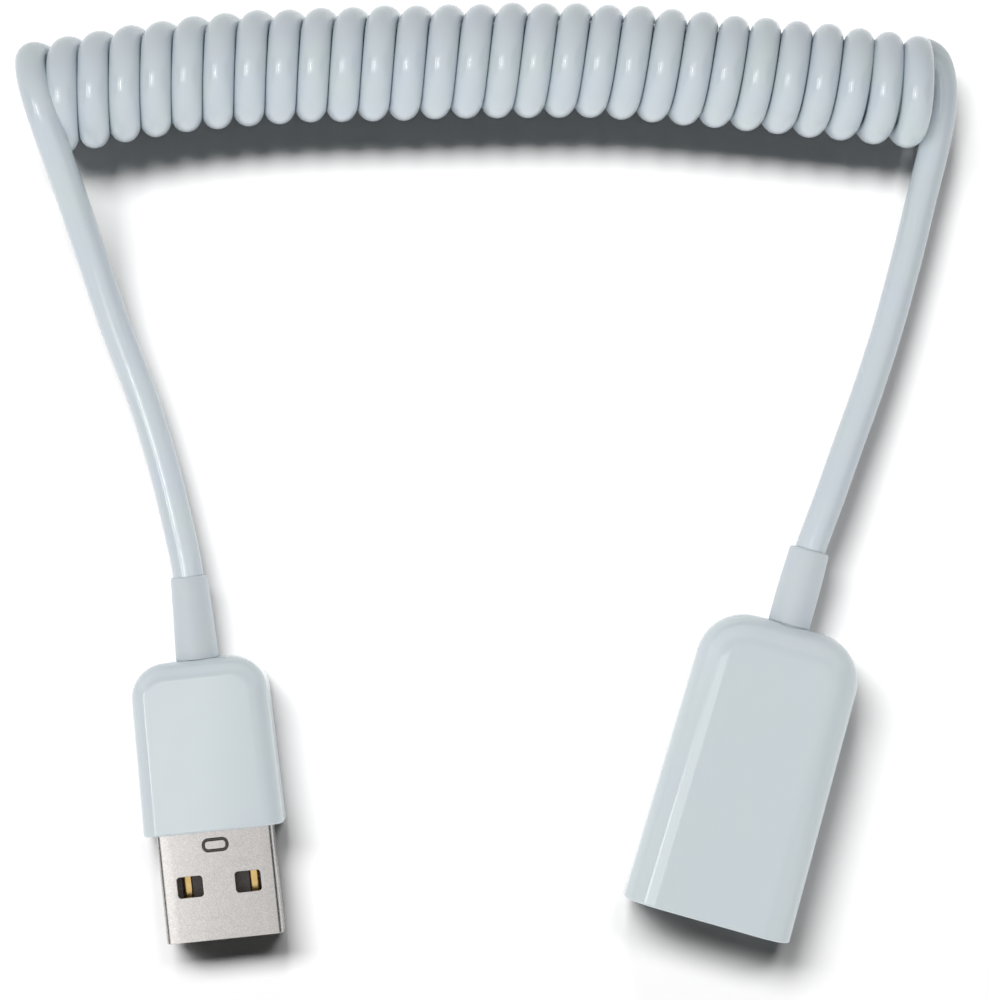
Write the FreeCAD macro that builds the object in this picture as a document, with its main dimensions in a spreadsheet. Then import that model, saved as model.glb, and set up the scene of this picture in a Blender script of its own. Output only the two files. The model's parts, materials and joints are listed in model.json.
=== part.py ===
import FreeCAD, Part
import math
import os
import re
import Sketcher

# Coiled extension lead lying flat: a plug and a socket on the two tails of one curly cord.
# Each connector is drawn in its own frame, mouth or tip at y = 0, cord towards +y, table at z = 0,
# and is then turned and set down in the layout.
doc = FreeCAD.newDocument("coiled_extension_lead")

# Driving dimensions in millimetres and degrees: name, value, meaning
SIZES = [
    ("plug_x", -27.71, "plug tip in the layout"),
    ("plug_y", -19.8, "plug tip in the layout"),
    ("plug_turn", 6.0, "plug turned on the table"),
    ("socket_x", 21.78, "socket mouth in the layout"),
    ("socket_y", -17.83, "socket mouth in the layout"),
    ("socket_turn", -15.8, "socket turned on the table"),
    ("coil_x", -0.13, "crown of the coil's axis"),
    ("coil_y", 70.61, "crown of the coil's axis"),
    ("fit_gap", 0.05, "clearance of a piece in its seat"),
    ("sheet_thick", 0.3, "sheet metal of both shells"),
    ("cord_dia", 3.1, "cord jacket"),
    ("coil_dia", 11.7, "outside of the coil"),
    ("coil_span", 81.0, "length of the coil along its arched axis"),
    ("coil_bend", 270.0, "radius of the arched axis"),
    ("tail_run", 5.0, "straight end of a tail at the coil"),
    ("plug_tail_out", 2.0, "plug tail on the coil's end, away from the bend centre"),
    ("plug_tail_up", 2.75, "plug tail on the coil's end, above its axis"),
    ("socket_tail_out", 2.9, "socket tail on the coil's end, away from the bend centre"),
    ("socket_tail_down", 2.3, "socket tail on the coil's end, below its axis"),
    ("wire_dia", 0.9, "insulated core"),
    ("wire_spread", 0.55, "cores off the cord's axis, each way"),
    ("contact_wide", 1.0, "contact strip"),
    ("contact_thick", 0.25, "contact strip"),
    ("contact_proud", 0.05, "contact above its tongue"),
    ("contact_outer", 3.5, "power and ground contacts off the middle"),
    ("contact_inner", 1.0, "data contacts off the middle"),
    ("solder_tail", 3.0, "contact past the back of its insulator"),
    ("chamber_wide", 10.2, "wire chamber in the inner moulds"),
    ("chamber_tall", 3.3, "wire chamber in the inner moulds"),
    ("jacket_out", 0.4, "cord jacket in the wire chamber"),
    ("core_lap", 1.4, "core on the back of its contact"),
    ("relief_neck", 3.9, "strain relief where it passes the back wall"),
    ("relief_flange", 4.4, "strain relief behind the back wall"),
    ("flange_thick", 0.8, "strain relief behind the back wall"),
    ("relief_lip", 0.25, "bevel of the strain relief's cord end"),
    ("plug_wide", 14.5, "plug housing at its front"),
    ("plug_taper", 0.28, "plug housing narrower at the back, each side"),
    ("plug_long", 17.6, "plug housing"),
    ("plug_tall", 7.4, "plug housing"),
    ("plug_corner", 3.6, "plug housing's back corners in plan"),
    ("plug_edge", 2.0, "plug housing's long edges"),
    ("plug_rear_wall", 1.4, "plug housing's back wall"),
    ("plug_shell_wide", 12.0, "plug shell outside"),
    ("plug_shell_tall", 4.5, "plug shell outside"),
    ("plug_shell_corner", 0.6, "plug shell outside"),
    ("plug_shell_out", 11.25, "plug shell in front of the housing"),
    ("plug_shell_in", 7.2, "plug shell inside the housing"),
    ("window_wide", 2.6, "latch window"),
    ("window_long", 2.15, "latch window"),
    ("window_corner", 0.3, "latch window"),
    ("window_apart", 6.0, "latch windows between centres"),
    ("window_front", 4.6, "latch window's front edge from the tip"),
    ("stake_wide", 2.7, "oval stake mark"),
    ("stake_long", 1.4, "oval stake mark"),
    ("stake_ring", 0.3, "groove of the stake mark"),
    ("stake_deep", 0.14, "groove of the stake mark"),
    ("stake_round", 0.62, "outer ends of the stake mark"),
    ("stake_back", 1.5, "middle of the stake mark in front of the housing"),
    ("seam_gap", 0.1, "butt seam under the plug shell"),
    ("seam_lock", 1.6, "dovetail of the seam, across"),
    ("seam_lock_front", 7.5, "dovetail of the seam from the tip"),
    ("seam_lock_long", 2.4, "dovetail of the seam at its wide end"),
    ("seam_lock_slope", 0.4, "dovetail narrower at its root, each side"),
    ("plug_tongue", 1.84, "plug tongue's thickness"),
    ("plug_tongue_in", 0.4, "plug tongue behind the shell's tip"),
    ("plug_cavity", 9.0, "depth of the plug's open end"),
    ("plug_insulator_in", 1.4, "plug insulator in front of the shell's back"),
    ("plug_outer_in", 1.6, "power and ground contacts behind the tip"),
    ("plug_inner_in", 2.6, "data contacts behind the tip"),
    ("plug_block", 6.1, "wide part of the plug's inner mould"),
    ("plug_neck_wide", 8.0, "narrow part of the plug's inner mould"),
    ("plug_chamber", 5.4, "wire chamber's length in the plug"),
    ("plug_relief_long", 8.6, "plug strain relief outside"),
    ("plug_relief_base", 4.45, "plug strain relief at the housing"),
    ("plug_relief_end", 3.8, "plug strain relief at the cord"),
    ("socket_wide", 17.7, "socket housing at its front"),
    ("socket_taper", 0.43, "socket housing narrower at the back, each side"),
    ("socket_long", 31.5, "socket housing"),
    ("socket_tall", 9.0, "socket housing"),
    ("socket_corner", 5.0, "socket housing's back corners in plan"),
    ("socket_edge", 3.4, "socket housing's long edges"),
    ("socket_rear_wall", 1.6, "socket housing's back wall"),
    ("mouth_wide", 12.5, "socket opening"),
    ("mouth_tall", 5.12, "socket opening"),
    ("mouth_corner", 0.5, "socket opening"),
    ("socket_shell_in", 0.2, "socket shell behind the housing's front"),
    ("socket_shell_long", 15.0, "socket shell"),
    ("finger_apart", 6.2, "spring fingers between centres"),
    ("finger_wide", 1.6, "spring finger"),
    ("finger_slot", 0.4, "slot on each side of a spring finger"),
    ("finger_front", 2.4, "finger's slot behind the shell's front"),
    ("finger_long", 6.8, "finger's slot"),
    ("finger_tip", 0.8, "finger's tip behind the slot's front"),
    ("finger_lip", 1.1, "finger's turned-up tip"),
    ("finger_bow", 0.42, "finger's reach into the opening"),
    ("finger_rise", 0.3, "finger's tip turned back from its reach"),
    ("finger_room", 0.6, "recess of the housing behind the fingers"),
    ("socket_tongue", 1.84, "socket tongue's thickness"),
    ("socket_tongue_wide", 11.1, "socket tongue"),
    ("socket_tongue_in", 2.0, "socket tongue behind the shell's front"),
    ("socket_tongue_long", 8.4, "socket tongue"),
    ("tongue_nose", 0.3, "rounding of the socket tongue's tip"),
    ("spring_tip", 1.0, "socket contact behind the tongue's tip"),
    ("spring_rise", 1.8, "socket contact from its tip to its bow"),
    ("spring_flat", 0.8, "top of the socket contact's bow"),
    ("spring_fall", 3.2, "socket contact from its bow to its root"),
    ("spring_bow", 0.5, "socket contact's reach out of the tongue"),
    ("socket_block", 8.3, "wide part of the socket's inner mould"),
    ("socket_neck_wide", 8.6, "narrow part of the socket's inner mould"),
    ("socket_chamber", 7.2, "wire chamber's length in the socket"),
    ("socket_relief_long", 7.75, "socket strain relief outside"),
    ("socket_relief_base", 4.35, "socket strain relief at the housing"),
    ("socket_relief_end", 4.15, "socket strain relief at the cord"),
]

sheet = doc.addObject("Spreadsheet::Sheet", "Sizes")
for row, (alias, value, meaning) in enumerate(SIZES, start=1):
    sheet.set(f"A{row}", alias)
    sheet.set(f"B{row}", str(value))
    sheet.setAlias(f"B{row}", alias)
    sheet.set(f"C{row}", meaning)
doc.recompute()
NAMES = {alias for alias, value, meaning in SIZES}
UP = FreeCAD.Vector(0, 0, 1)
ALONG_X = FreeCAD.Vector(1, 0, 0)
ALONG_Y = FreeCAD.Vector(0, 1, 0)
NEAR = 1e-4
nodes = []


def size(alias):
    return float(sheet.get(alias))


def bound(text):
    """Expression text with every size name pointed at its cell."""
    return re.sub(r"[a-z_]+", lambda word: "Sizes." + word[0] if word[0] in NAMES else word[0], text)


# Stations along the plug and heights in it
plug_axis = "plug_tall / 2"
plug_back = "(plug_shell_out + plug_long)"
plug_shell_back = "(plug_shell_out + plug_shell_in)"
plug_insulator_back = f"({plug_shell_back} - plug_insulator_in)"
plug_inside_back = f"({plug_back} - plug_rear_wall)"
plug_block_back = f"({plug_shell_back} + plug_block)"
plug_floor = f"({plug_axis} - plug_shell_tall / 2 + sheet_thick)"
plug_roof = f"({plug_axis} + plug_shell_tall / 2 - sheet_thick)"
plug_deck = f"({plug_floor} + plug_tongue)"

# Stations along the socket and heights in it
socket_axis = "socket_tall / 2"
socket_shell_back = "(socket_shell_in + socket_shell_long)"
socket_inside_back = "(socket_long - socket_rear_wall)"
socket_block_back = f"({socket_shell_back} + socket_block)"
socket_tongue_tip = "(socket_shell_in + socket_tongue_in)"
socket_tongue_root = f"({socket_tongue_tip} + socket_tongue_long)"
shell_wide = "(mouth_wide + 2 * sheet_thick)"
shell_tall = "(mouth_tall + 2 * sheet_thick)"
shell_corner = "(mouth_corner + sheet_thick)"
mouth_roof = f"({socket_axis} + mouth_tall / 2)"
finger_root = "(socket_shell_in + finger_front + finger_long)"


def box(x_low, x_high, y_low, y_high):
    """Four corners of an upright rectangle."""
    return [(x_low, y_low), (x_high, y_low), (x_high, y_high), (x_low, y_high)]


def centred(wide, y_low, y_high, middle="0"):
    """Rectangle of a given width about the line x = middle."""
    return box(f"{middle} - ({wide}) / 2", f"{middle} + ({wide}) / 2", y_low, y_high)


def section(wide, tall, axis):
    """Rectangle about a connector's axis."""
    return centred(wide, f"{axis} - ({tall}) / 2", f"{axis} + ({tall}) / 2")


def start(label, connector):
    """New body that is turned and set down with its connector."""
    body = doc.addObject("PartDesign::Body", label)
    body.Label = label
    body.Placement.Rotation = FreeCAD.Rotation(UP, size(f"{connector}_turn"))
    body.setExpression("Placement.Base.x", f"Sizes.{connector}_x")
    body.setExpression("Placement.Base.y", f"Sizes.{connector}_y")
    body.setExpression("Placement.Rotation.Angle", f"Sizes.{connector}_turn")
    nodes.append(body)
    return body


def attached(body, name, plane, station, lift="0"):
    """Empty sketch parallel to an origin plane, at a station along the plane's world axis."""
    sketch = body.newObject("Sketcher::SketchObject", name)
    origin_plane = [part for part in body.Origin.OriginFeatures if part.Role == f"{plane}_Plane"][0]
    sketch.AttachmentSupport = [(origin_plane, "")]
    sketch.MapMode = "FlatFace"
    facing = "-" if plane == "XZ" else ""
    sketch.setExpression("AttachmentOffset.Base.z", bound(f"{facing}({station}) * 1 mm"))
    sketch.setExpression("AttachmentOffset.Base.y", bound(f"({lift}) * 1 mm"))
    return sketch


def polygons(body, name, plane, loops, station="0", lift="0"):
    """Sketch of closed polygons whose corners are bound to the sizes."""
    sketch = attached(body, name, plane, station, lift)
    first = 0
    for loop in loops:
        count = len(loop)
        angles = [2 * math.pi * corner / count for corner in range(count)]
        ring = [FreeCAD.Vector(math.cos(angle), math.sin(angle), 0) for angle in angles]
        for corner in range(count):
            sketch.addGeometry(Part.LineSegment(ring[corner], ring[(corner + 1) % count]), False)
        for corner in range(count):
            after = first + (corner + 1) % count
            sketch.addConstraint(Sketcher.Constraint("Coincident", first + corner, 2, after, 1))
        for corner, (across, along) in enumerate(loop):
            for kind, text in (("DistanceX", across), ("DistanceY", along)):
                index = sketch.addConstraint(Sketcher.Constraint(kind, -1, 1, first + corner, 1, 1.0))
                sketch.setExpression(f"Constraints[{index}]", bound(text))
        first += count
    return sketch


def circle(body, name, plane, across, along, diameter, station="0"):
    """Sketch of one circle bound to the sizes."""
    sketch = attached(body, name, plane, station)
    sketch.addGeometry(Part.Circle(FreeCAD.Vector(1, 1, 0), UP, 1.0), False)
    for kind, text in (("DistanceX", across), ("DistanceY", along)):
        index = sketch.addConstraint(Sketcher.Constraint(kind, -1, 1, 0, 3, 1.0))
        sketch.setExpression(f"Constraints[{index}]", bound(text))
    index = sketch.addConstraint(Sketcher.Constraint("Diameter", 0, 1.0))
    sketch.setExpression(f"Constraints[{index}]", bound(diameter))
    return sketch


def faces_minus(sketch):
    """Whether the sketch's own normal points down its plane's world axis, as on XZ."""
    return sketch.AttachmentSupport[0][0].Role == "XZ_Plane"


def pad(body, name, sketch, length):
    """Extrude up the plane's world axis."""
    feature = body.newObject("PartDesign::Pad", name)
    feature.Profile = sketch
    feature.setExpression("Length", bound(length))
    feature.Reversed = faces_minus(sketch)
    doc.recompute()


def cut(body, name, sketch, length, upwards=True):
    """Pocket up or down the plane's world axis, which has to take material away."""
    before = body.Shape.Volume
    feature = body.newObject("PartDesign::Pocket", name)
    feature.Profile = sketch
    feature.setExpression("Length", bound(length))
    feature.Reversed = upwards != faces_minus(sketch)
    doc.recompute()
    if body.Shape.Volume >= before:
        raise RuntimeError(f"{body.Label}: {name} cuts nothing")


def revolve(body, name, sketch, axis, angle="360"):
    """Turn a sketch about one of its own axes, evenly to both sides of its plane."""
    feature = body.newObject("PartDesign::Revolution", name)
    feature.Profile = sketch
    feature.ReferenceAxis = (sketch, [axis])
    feature.Midplane = True
    feature.setExpression("Angle", bound(f"({angle}) * 1 deg"))
    doc.recompute()


def rounded(body, name, radius, wanted):
    """Fillet the edges of the body's last feature that the test picks."""
    base = body.Tip
    names = [f"Edge{count}" for count, edge in enumerate(base.Shape.Edges, start=1) if wanted(edge)]
    feature = body.newObject("PartDesign::Fillet", name)
    feature.Base = (base, names)
    feature.setExpression("Radius", bound(radius))
    doc.recompute()


def runs_along(edge, axis):
    """Straight edge parallel to a world axis."""
    if edge.Curve.TypeId != "Part::GeomLine":
        return False
    return abs(abs(edge.tangentAt(edge.FirstParameter).dot(axis)) - 1) < 1e-6


def at(edge, x=None, y=None, z=None):
    """Edge that lies wholly at the coordinates that are given."""
    limits = edge.BoundBox
    ends = ((x, limits.XMin, limits.XMax), (y, limits.YMin, limits.YMax), (z, limits.ZMin, limits.ZMax))
    given = [(place, low, high) for place, low, high in ends if place is not None]
    return all(abs(low - place) < NEAR and abs(high - place) < NEAR for place, low, high in given)


def housing(connector, front, back, front_wide, back_wide):
    """Moulded block with soft edges all round except at its front."""
    body = start(f"{connector}_housing", connector)
    plan = [(f"-{front_wide} / 2", front), (f"{front_wide} / 2", front),
            (f"{back_wide} / 2", back), (f"-{back_wide} / 2", back)]
    outline = polygons(body, f"{connector}_plan", "XY", [plan])
    pad(body, f"{connector}_block_form", outline, f"{connector}_tall")
    limits = body.Tip.Shape.BoundBox
    rounded(body, f"{connector}_back_corners", f"{connector}_corner",
            lambda edge: runs_along(edge, UP) and at(edge, y=limits.YMax))
    rounded(body, f"{connector}_soft_edges", f"{connector}_edge",
            lambda edge: (at(edge, z=limits.ZMin) or at(edge, z=limits.ZMax)) and not at(edge, y=limits.YMin))
    return body


def hollow(body, connector, wide, tall, corner, front, block_end, inside_back, back, axis):
    """Room for the shell and the inner mould, and the hole that holds the strain relief."""
    room = section(f"({wide}) + 2 * fit_gap", f"({tall}) + 2 * fit_gap", axis)
    opening = polygons(body, f"{connector}_room", "XZ", [room], front)
    cut(body, f"{connector}_room_cut", opening, f"{block_end} + fit_gap - ({front})")
    floor = opening.Shape.BoundBox.ZMin
    roof = opening.Shape.BoundBox.ZMax
    rounded(body, f"{connector}_room_corners", f"({corner}) + fit_gap",
            lambda edge: runs_along(edge, ALONG_Y) and (at(edge, z=floor) or at(edge, z=roof)))
    neck = section(f"{connector}_neck_wide + 2 * fit_gap", f"({tall}) + 2 * fit_gap", axis)
    narrow = polygons(body, f"{connector}_neck", "XZ", [neck], block_end)
    cut(body, f"{connector}_neck_cut", narrow, f"{inside_back} - {block_end}")
    hole = circle(body, f"{connector}_cord_hole", "XZ", "0", axis, "relief_neck + 2 * fit_gap", back)
    cut(body, f"{connector}_cord_hole_cut", hole, f"2 * {connector}_rear_wall", upwards=False)


def finger_rooms(body):
    """Recesses above and below the socket shell where its spring fingers give way."""
    wide = "(finger_wide + 2 * finger_slot)"
    front = "socket_shell_in + finger_front"
    pair = [centred(wide, front, finger_root, f"{side} finger_apart / 2") for side in ("-", "")]
    reach = f"({shell_tall} / 2 + fit_gap + finger_room)"
    plan = polygons(body, "finger_room_plan", "XY", pair, f"{socket_axis} - {reach}")
    cut(body, "finger_rooms", plan, f"2 * {reach}")


def strain_relief(connector, axis, back, inside_back):
    """Tapered sleeve on the cord, held in the back wall by its flange."""
    body = start(f"{connector}_strain_relief", connector)
    bore = "(cord_dia / 2 + fit_gap)"
    end = f"{back} + {connector}_relief_long"
    flange = f"{inside_back} - flange_thick"
    profile = [(flange, bore), (flange, "relief_flange / 2"), (inside_back, "relief_flange / 2"),
               (inside_back, "relief_neck / 2"), (back, "relief_neck / 2"),
               (back, f"{connector}_relief_base / 2"), (f"{end} - relief_lip", f"{connector}_relief_end / 2"),
               (end, f"{connector}_relief_end / 2 - relief_lip"), (end, bore)]
    turned = polygons(body, f"{connector}_relief_profile", "YZ", [profile], lift=axis)
    revolve(body, f"{connector}_relief_form", turned, "H_Axis")


def shell_tube(connector, wide, tall, corner, front, length, axis):
    """Sheet metal folded to a rectangular tube with round corners."""
    body = start(f"{connector}_shell", connector)
    inner_wide = f"({wide}) - 2 * sheet_thick"
    inner_tall = f"({tall}) - 2 * sheet_thick"
    walls = [section(wide, tall, axis), section(inner_wide, inner_tall, axis)]
    pad(body, f"{connector}_tube", polygons(body, f"{connector}_walls", "XZ", walls, front), length)
    outer = body.Tip.Shape.BoundBox.XMax
    inner = outer - size("sheet_thick")
    rounded(body, f"{connector}_outer_folds", corner,
            lambda edge: runs_along(edge, ALONG_Y) and (at(edge, x=-outer) or at(edge, x=outer)))
    rounded(body, f"{connector}_inner_folds", f"({corner}) - sheet_thick",
            lambda edge: runs_along(edge, ALONG_Y) and (at(edge, x=-inner) or at(edge, x=inner)))
    return body


def windows(body):
    """Two latch windows through the top and bottom walls of the plug shell."""
    front = "window_front"
    back = "window_front + window_long"
    pair = [centred("window_wide", front, back, f"{side} window_apart / 2") for side in ("-", "")]
    cut(body, "windows", polygons(body, "window_plan", "XY", pair), "plug_tall")
    rounded(body, "window_corners", "window_corner",
            lambda edge: runs_along(edge, UP) and edge.Length < 1.5 * size("sheet_thick"))


def stake_mark(body):
    """Oval groove pressed into the top wall close to the housing."""
    middle = "plug_shell_out - stake_back"
    ovals = []
    for inset in ("0", "2 * stake_ring"):
        half = f"(stake_long - {inset}) / 2"
        ovals.append(centred(f"(stake_wide - {inset})", f"{middle} - {half}", f"{middle} + {half}"))
    ring = polygons(body, "stake_plan", "XY", ovals, f"{plug_axis} + plug_shell_tall / 2")
    cut(body, "stake_groove", ring, "stake_deep", upwards=False)
    end_wall = size("stake_wide") / 2
    island = end_wall - size("stake_ring")

    def groove_corner(edge, across):
        short = abs(edge.Length - size("stake_deep")) < NEAR
        return short and runs_along(edge, UP) and (at(edge, x=-across) or at(edge, x=across))

    rounded(body, "stake_outer_ends", "stake_round", lambda edge: groove_corner(edge, end_wall))
    rounded(body, "stake_inner_ends", "stake_round - stake_ring", lambda edge: groove_corner(edge, island))


def seam(body):
    """Butt joint of the folded sheet, with one dovetail, along the bottom wall."""
    gap = "seam_gap / 2"
    root_front = "seam_lock_front + seam_lock_slope"
    root_back = "seam_lock_front + seam_lock_long - seam_lock_slope"
    wide_back = "seam_lock_front + seam_lock_long"
    left = [(f"-{gap}", "0"), (f"-{gap}", f"{root_front} + {gap}"),
            (f"seam_lock - {gap}", f"seam_lock_front + {gap}"),
            (f"seam_lock - {gap}", f"{wide_back} - {gap}"),
            (f"-{gap}", f"{root_back} - {gap}"), (f"-{gap}", plug_shell_back)]
    right = [(gap, plug_shell_back), (gap, f"{root_back} + {gap}"),
             (f"seam_lock + {gap}", f"{wide_back} + {gap}"),
             (f"seam_lock + {gap}", f"seam_lock_front - {gap}"),
             (gap, f"{root_front} - {gap}"), (gap, "0")]
    cut(body, "seam", polygons(body, "seam_plan", "XY", [left + right]), plug_axis)


def spring_fingers(body):
    """Two fingers each in the top and bottom walls, bowed into the opening."""
    slot_wide = "(finger_wide + 2 * finger_slot)"
    slot_front = "socket_shell_in + finger_front"
    slots = [centred(slot_wide, slot_front, finger_root, f"{side} finger_apart / 2") for side in ("-", "")]
    cut(body, "finger_slots", polygons(body, "finger_slot_plan", "XY", slots), "socket_tall")
    tip = f"{slot_front} + finger_tip"
    bend = f"{tip} + finger_lip"
    inner_line = [(f"{finger_root} + sheet_thick", mouth_roof), (finger_root, mouth_roof),
                  (bend, f"{mouth_roof} - finger_bow"), (tip, f"{mouth_roof} - finger_bow + finger_rise")]
    outer_line = [(along, f"{height} + sheet_thick") for along, height in inner_line]
    top = inner_line + outer_line[::-1]
    bottom = [(along, f"socket_tall - ({height})") for along, height in top]
    for side, sign in (("left", "-"), ("right", "")):
        edge = f"{sign} finger_apart / 2 - finger_wide / 2"
        profile = polygons(body, f"{side}_finger_profile", "YZ", [top, bottom], edge)
        pad(body, f"{side}_fingers", profile, "finger_wide")


def inner_mould(connector, wide, tall, corner, front, block_end, inside_back, axis):
    """Moulding behind the shell that closes in the cores and grips the cord."""
    body = start(f"{connector}_inner_mould", connector)
    block = polygons(body, f"{connector}_mould_block", "XZ", [section(wide, tall, axis)], front)
    pad(body, f"{connector}_mould_form", block, f"{block_end} - {front}")
    rounded(body, f"{connector}_mould_corners", corner, lambda edge: runs_along(edge, ALONG_Y))
    neck_end = f"({inside_back} - flange_thick - fit_gap)"
    narrow = section(f"{connector}_neck_wide", tall, axis)
    neck = polygons(body, f"{connector}_mould_neck", "XZ", [narrow], block_end)
    pad(body, f"{connector}_neck_form", neck, f"{neck_end} - {block_end}")
    chamber = section("chamber_wide", "chamber_tall", axis)
    room = polygons(body, f"{connector}_chamber_room", "XZ", [chamber], front)
    cut(body, f"{connector}_chamber_cut", room, f"{connector}_chamber")
    bore = circle(body, f"{connector}_bore", "XZ", "0", axis, "cord_dia + 2 * fit_gap", front)
    cut(body, f"{connector}_bore_cut", bore, f"{neck_end} - {front}")


def contact_channels(middles, low, high):
    """Cross-sections of the channels that hold a row of contacts."""
    return [centred("contact_wide + 2 * fit_gap", low, high, middle) for middle in middles]


def plug_insulator():
    """Block with a tongue along the bottom of the shell, contacts in its upper face."""
    body = start("plug_insulator", "plug")
    wide = "(plug_shell_wide - 2 * sheet_thick - 2 * fit_gap)"
    low = f"{plug_floor} + fit_gap"
    high = f"{plug_roof} - fit_gap"
    profile = [("plug_tongue_in", low), (plug_insulator_back, low), (plug_insulator_back, high),
               ("plug_cavity", high), ("plug_cavity", plug_deck), ("plug_tongue_in", plug_deck)]
    pad(body, "plug_insulator_form", polygons(body, "plug_side", "YZ", [profile], f"-{wide} / 2"), wide)
    limits = body.Tip.Shape.BoundBox
    rounded(body, "plug_insulator_corners", "plug_shell_corner - sheet_thick",
            lambda edge: runs_along(edge, ALONG_Y) and (at(edge, z=limits.ZMin) or at(edge, z=limits.ZMax)))
    groove = f"{plug_deck} - contact_thick + contact_proud"
    top = f"{plug_deck} + contact_proud + fit_gap"
    for spot, front in (("contact_outer", "plug_outer_in"), ("contact_inner", "plug_inner_in")):
        pair = contact_channels([f"-{spot}", spot], groove, top)
        channels = polygons(body, f"plug_{spot}_channels", "XZ", pair, front)
        cut(body, f"plug_{spot}_cut", channels, f"{plug_insulator_back} - {front}")


def plug_contact(name, middle, front):
    """Flat strip in its channel, its tip sloped down and its back left free for a core."""
    body = start(f"plug_contact_{name}", "plug")
    low = f"{plug_deck} - contact_thick + contact_proud"
    high = f"{plug_deck} + contact_proud"
    tip = f"{front} + fit_gap"
    back = f"{plug_insulator_back} + solder_tail"
    slope_end = f"{tip} + 2 * contact_thick"
    profile = [(tip, low), (back, low), (back, high), (slope_end, high), (tip, plug_deck)]
    strip = polygons(body, f"plug_{name}_profile", "YZ", [profile], f"{middle} - contact_wide / 2")
    pad(body, f"plug_{name}_strip", strip, "contact_wide")


def socket_insulator():
    """Block that closes the back of the socket shell, with a tongue out into the opening."""
    body = start("socket_insulator", "socket")
    block = section("mouth_wide - 2 * fit_gap", "mouth_tall - 2 * fit_gap", socket_axis)
    rear = polygons(body, "socket_block_section", "XZ", [block], socket_tongue_root)
    pad(body, "socket_block_form", rear, f"{socket_shell_back} - {socket_tongue_root}")
    rounded(body, "socket_block_corners", "mouth_corner", lambda edge: runs_along(edge, ALONG_Y))
    blade = centred("socket_tongue_wide", socket_axis, f"{socket_axis} + socket_tongue")
    tongue = polygons(body, "socket_tongue_section", "XZ", [blade], socket_tongue_tip)
    pad(body, "socket_tongue_form", tongue, "socket_tongue_long")
    limits = body.Tip.Shape.BoundBox
    rounded(body, "socket_tongue_nose", "tongue_nose",
            lambda edge: runs_along(edge, ALONG_X) and at(edge, y=limits.YMin))
    low = f"{socket_axis} - contact_proud - fit_gap"
    high = f"{socket_axis} - contact_proud + contact_thick"
    middles = ["-contact_outer", "-contact_inner", "contact_inner", "contact_outer"]
    row = contact_channels(middles, low, high)
    front = f"({socket_tongue_tip} + spring_tip)"
    channels = polygons(body, "socket_channels", "XZ", row, front)
    cut(body, "socket_channels_cut", channels, f"{socket_shell_back} - {front}")


def socket_contact(name, middle):
    """Spring strip under the tongue, bowed down towards the plug's contact."""
    body = start(f"socket_contact_{name}", "socket")
    low = f"{socket_axis} - contact_proud"
    tip = f"{socket_tongue_tip} + spring_tip + fit_gap"
    bow_front = f"{tip} + spring_rise"
    bow_back = f"{bow_front} + spring_flat"
    root = f"{bow_back} + spring_fall"
    back = f"{socket_shell_back} + solder_tail"
    bowed = f"{low} - spring_bow"
    lower = [(tip, low), (bow_front, bowed), (bow_back, bowed), (root, low), (back, low)]
    upper = [(along, f"{height} + contact_thick") for along, height in reversed(lower)]
    strip = polygons(body, f"socket_{name}_profile", "YZ", [lower + upper], f"{middle} - contact_wide / 2")
    pad(body, f"socket_{name}_strip", strip, "contact_wide")


def coiled_cord():
    """Outer form of the curly stretch: one tube on an arched axis."""
    body = doc.addObject("PartDesign::Body", "coiled_cord")
    body.Label = "coiled_cord"
    body.setExpression("Placement.Base.x", "Sizes.coil_x")
    body.setExpression("Placement.Base.y", "Sizes.coil_y - Sizes.coil_bend")
    ring = circle(body, "coil_section", "YZ", "coil_bend", "coil_dia / 2", "coil_dia")
    revolve(body, "coil_form", ring, "V_Axis", "coil_span / coil_bend * 180 / pi")
    nodes.append(body)


def path_of(points):
    """Straight runs joined by arcs as large as the runs allow, with the arcs' radii."""
    share = 0.45
    edges = []
    radii = []
    reached = points[0]
    for before, corner, after in zip(points, points[1:], points[2:]):
        inward = (corner - before).normalize()
        outward = (after - corner).normalize()
        half_turn = inward.getAngle(outward) / 2
        trim = share * min(before.distanceToPoint(corner), corner.distanceToPoint(after))
        radius = trim / math.tan(half_turn)
        to_centre = (outward - inward).normalize()
        arc_start = corner - inward * trim
        arc_end = corner + outward * trim
        arc_middle = corner + to_centre * (radius / math.cos(half_turn) - radius)
        edges.append(Part.LineSegment(reached, arc_start).toShape())
        edges.append(Part.Arc(arc_start, arc_middle, arc_end).toShape())
        radii.append(radius)
        reached = arc_end
    edges.append(Part.LineSegment(reached, points[-1]).toShape())
    return Part.Wire(edges), radii


def tube(label, points, diameter):
    """Round cord along a route of points."""
    path, radii = path_of(points)
    ring = Part.Wire(Part.Circle(points[0], points[1] - points[0], diameter / 2).toShape())
    solid = path.makePipeShell([ring], True, False)
    share = solid.Volume / (math.pi * diameter ** 2 / 4 * path.Length)
    if abs(share - 1) > 0.01:
        raise RuntimeError(f"{label}: volume is {share:.3f} of section times length")
    rounds = ", ".join(f"{radius:.1f}" for radius in radii)
    print(f"{label}: length {path.Length:.1f}, radii {rounds}, volume share {share:.4f}")
    feature = doc.addObject("Part::Feature", label)
    feature.Label = label
    feature.Shape = solid
    nodes.append(feature)


def resting_place(connector):
    base = FreeCAD.Vector(size(f"{connector}_x"), size(f"{connector}_y"), 0)
    return FreeCAD.Placement(base, FreeCAD.Rotation(UP, size(f"{connector}_turn")))


def on_axis(connector, along):
    """World point on a connector's axis."""
    return resting_place(connector).multVec(FreeCAD.Vector(0, along, size(f"{connector}_tall") / 2))


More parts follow.
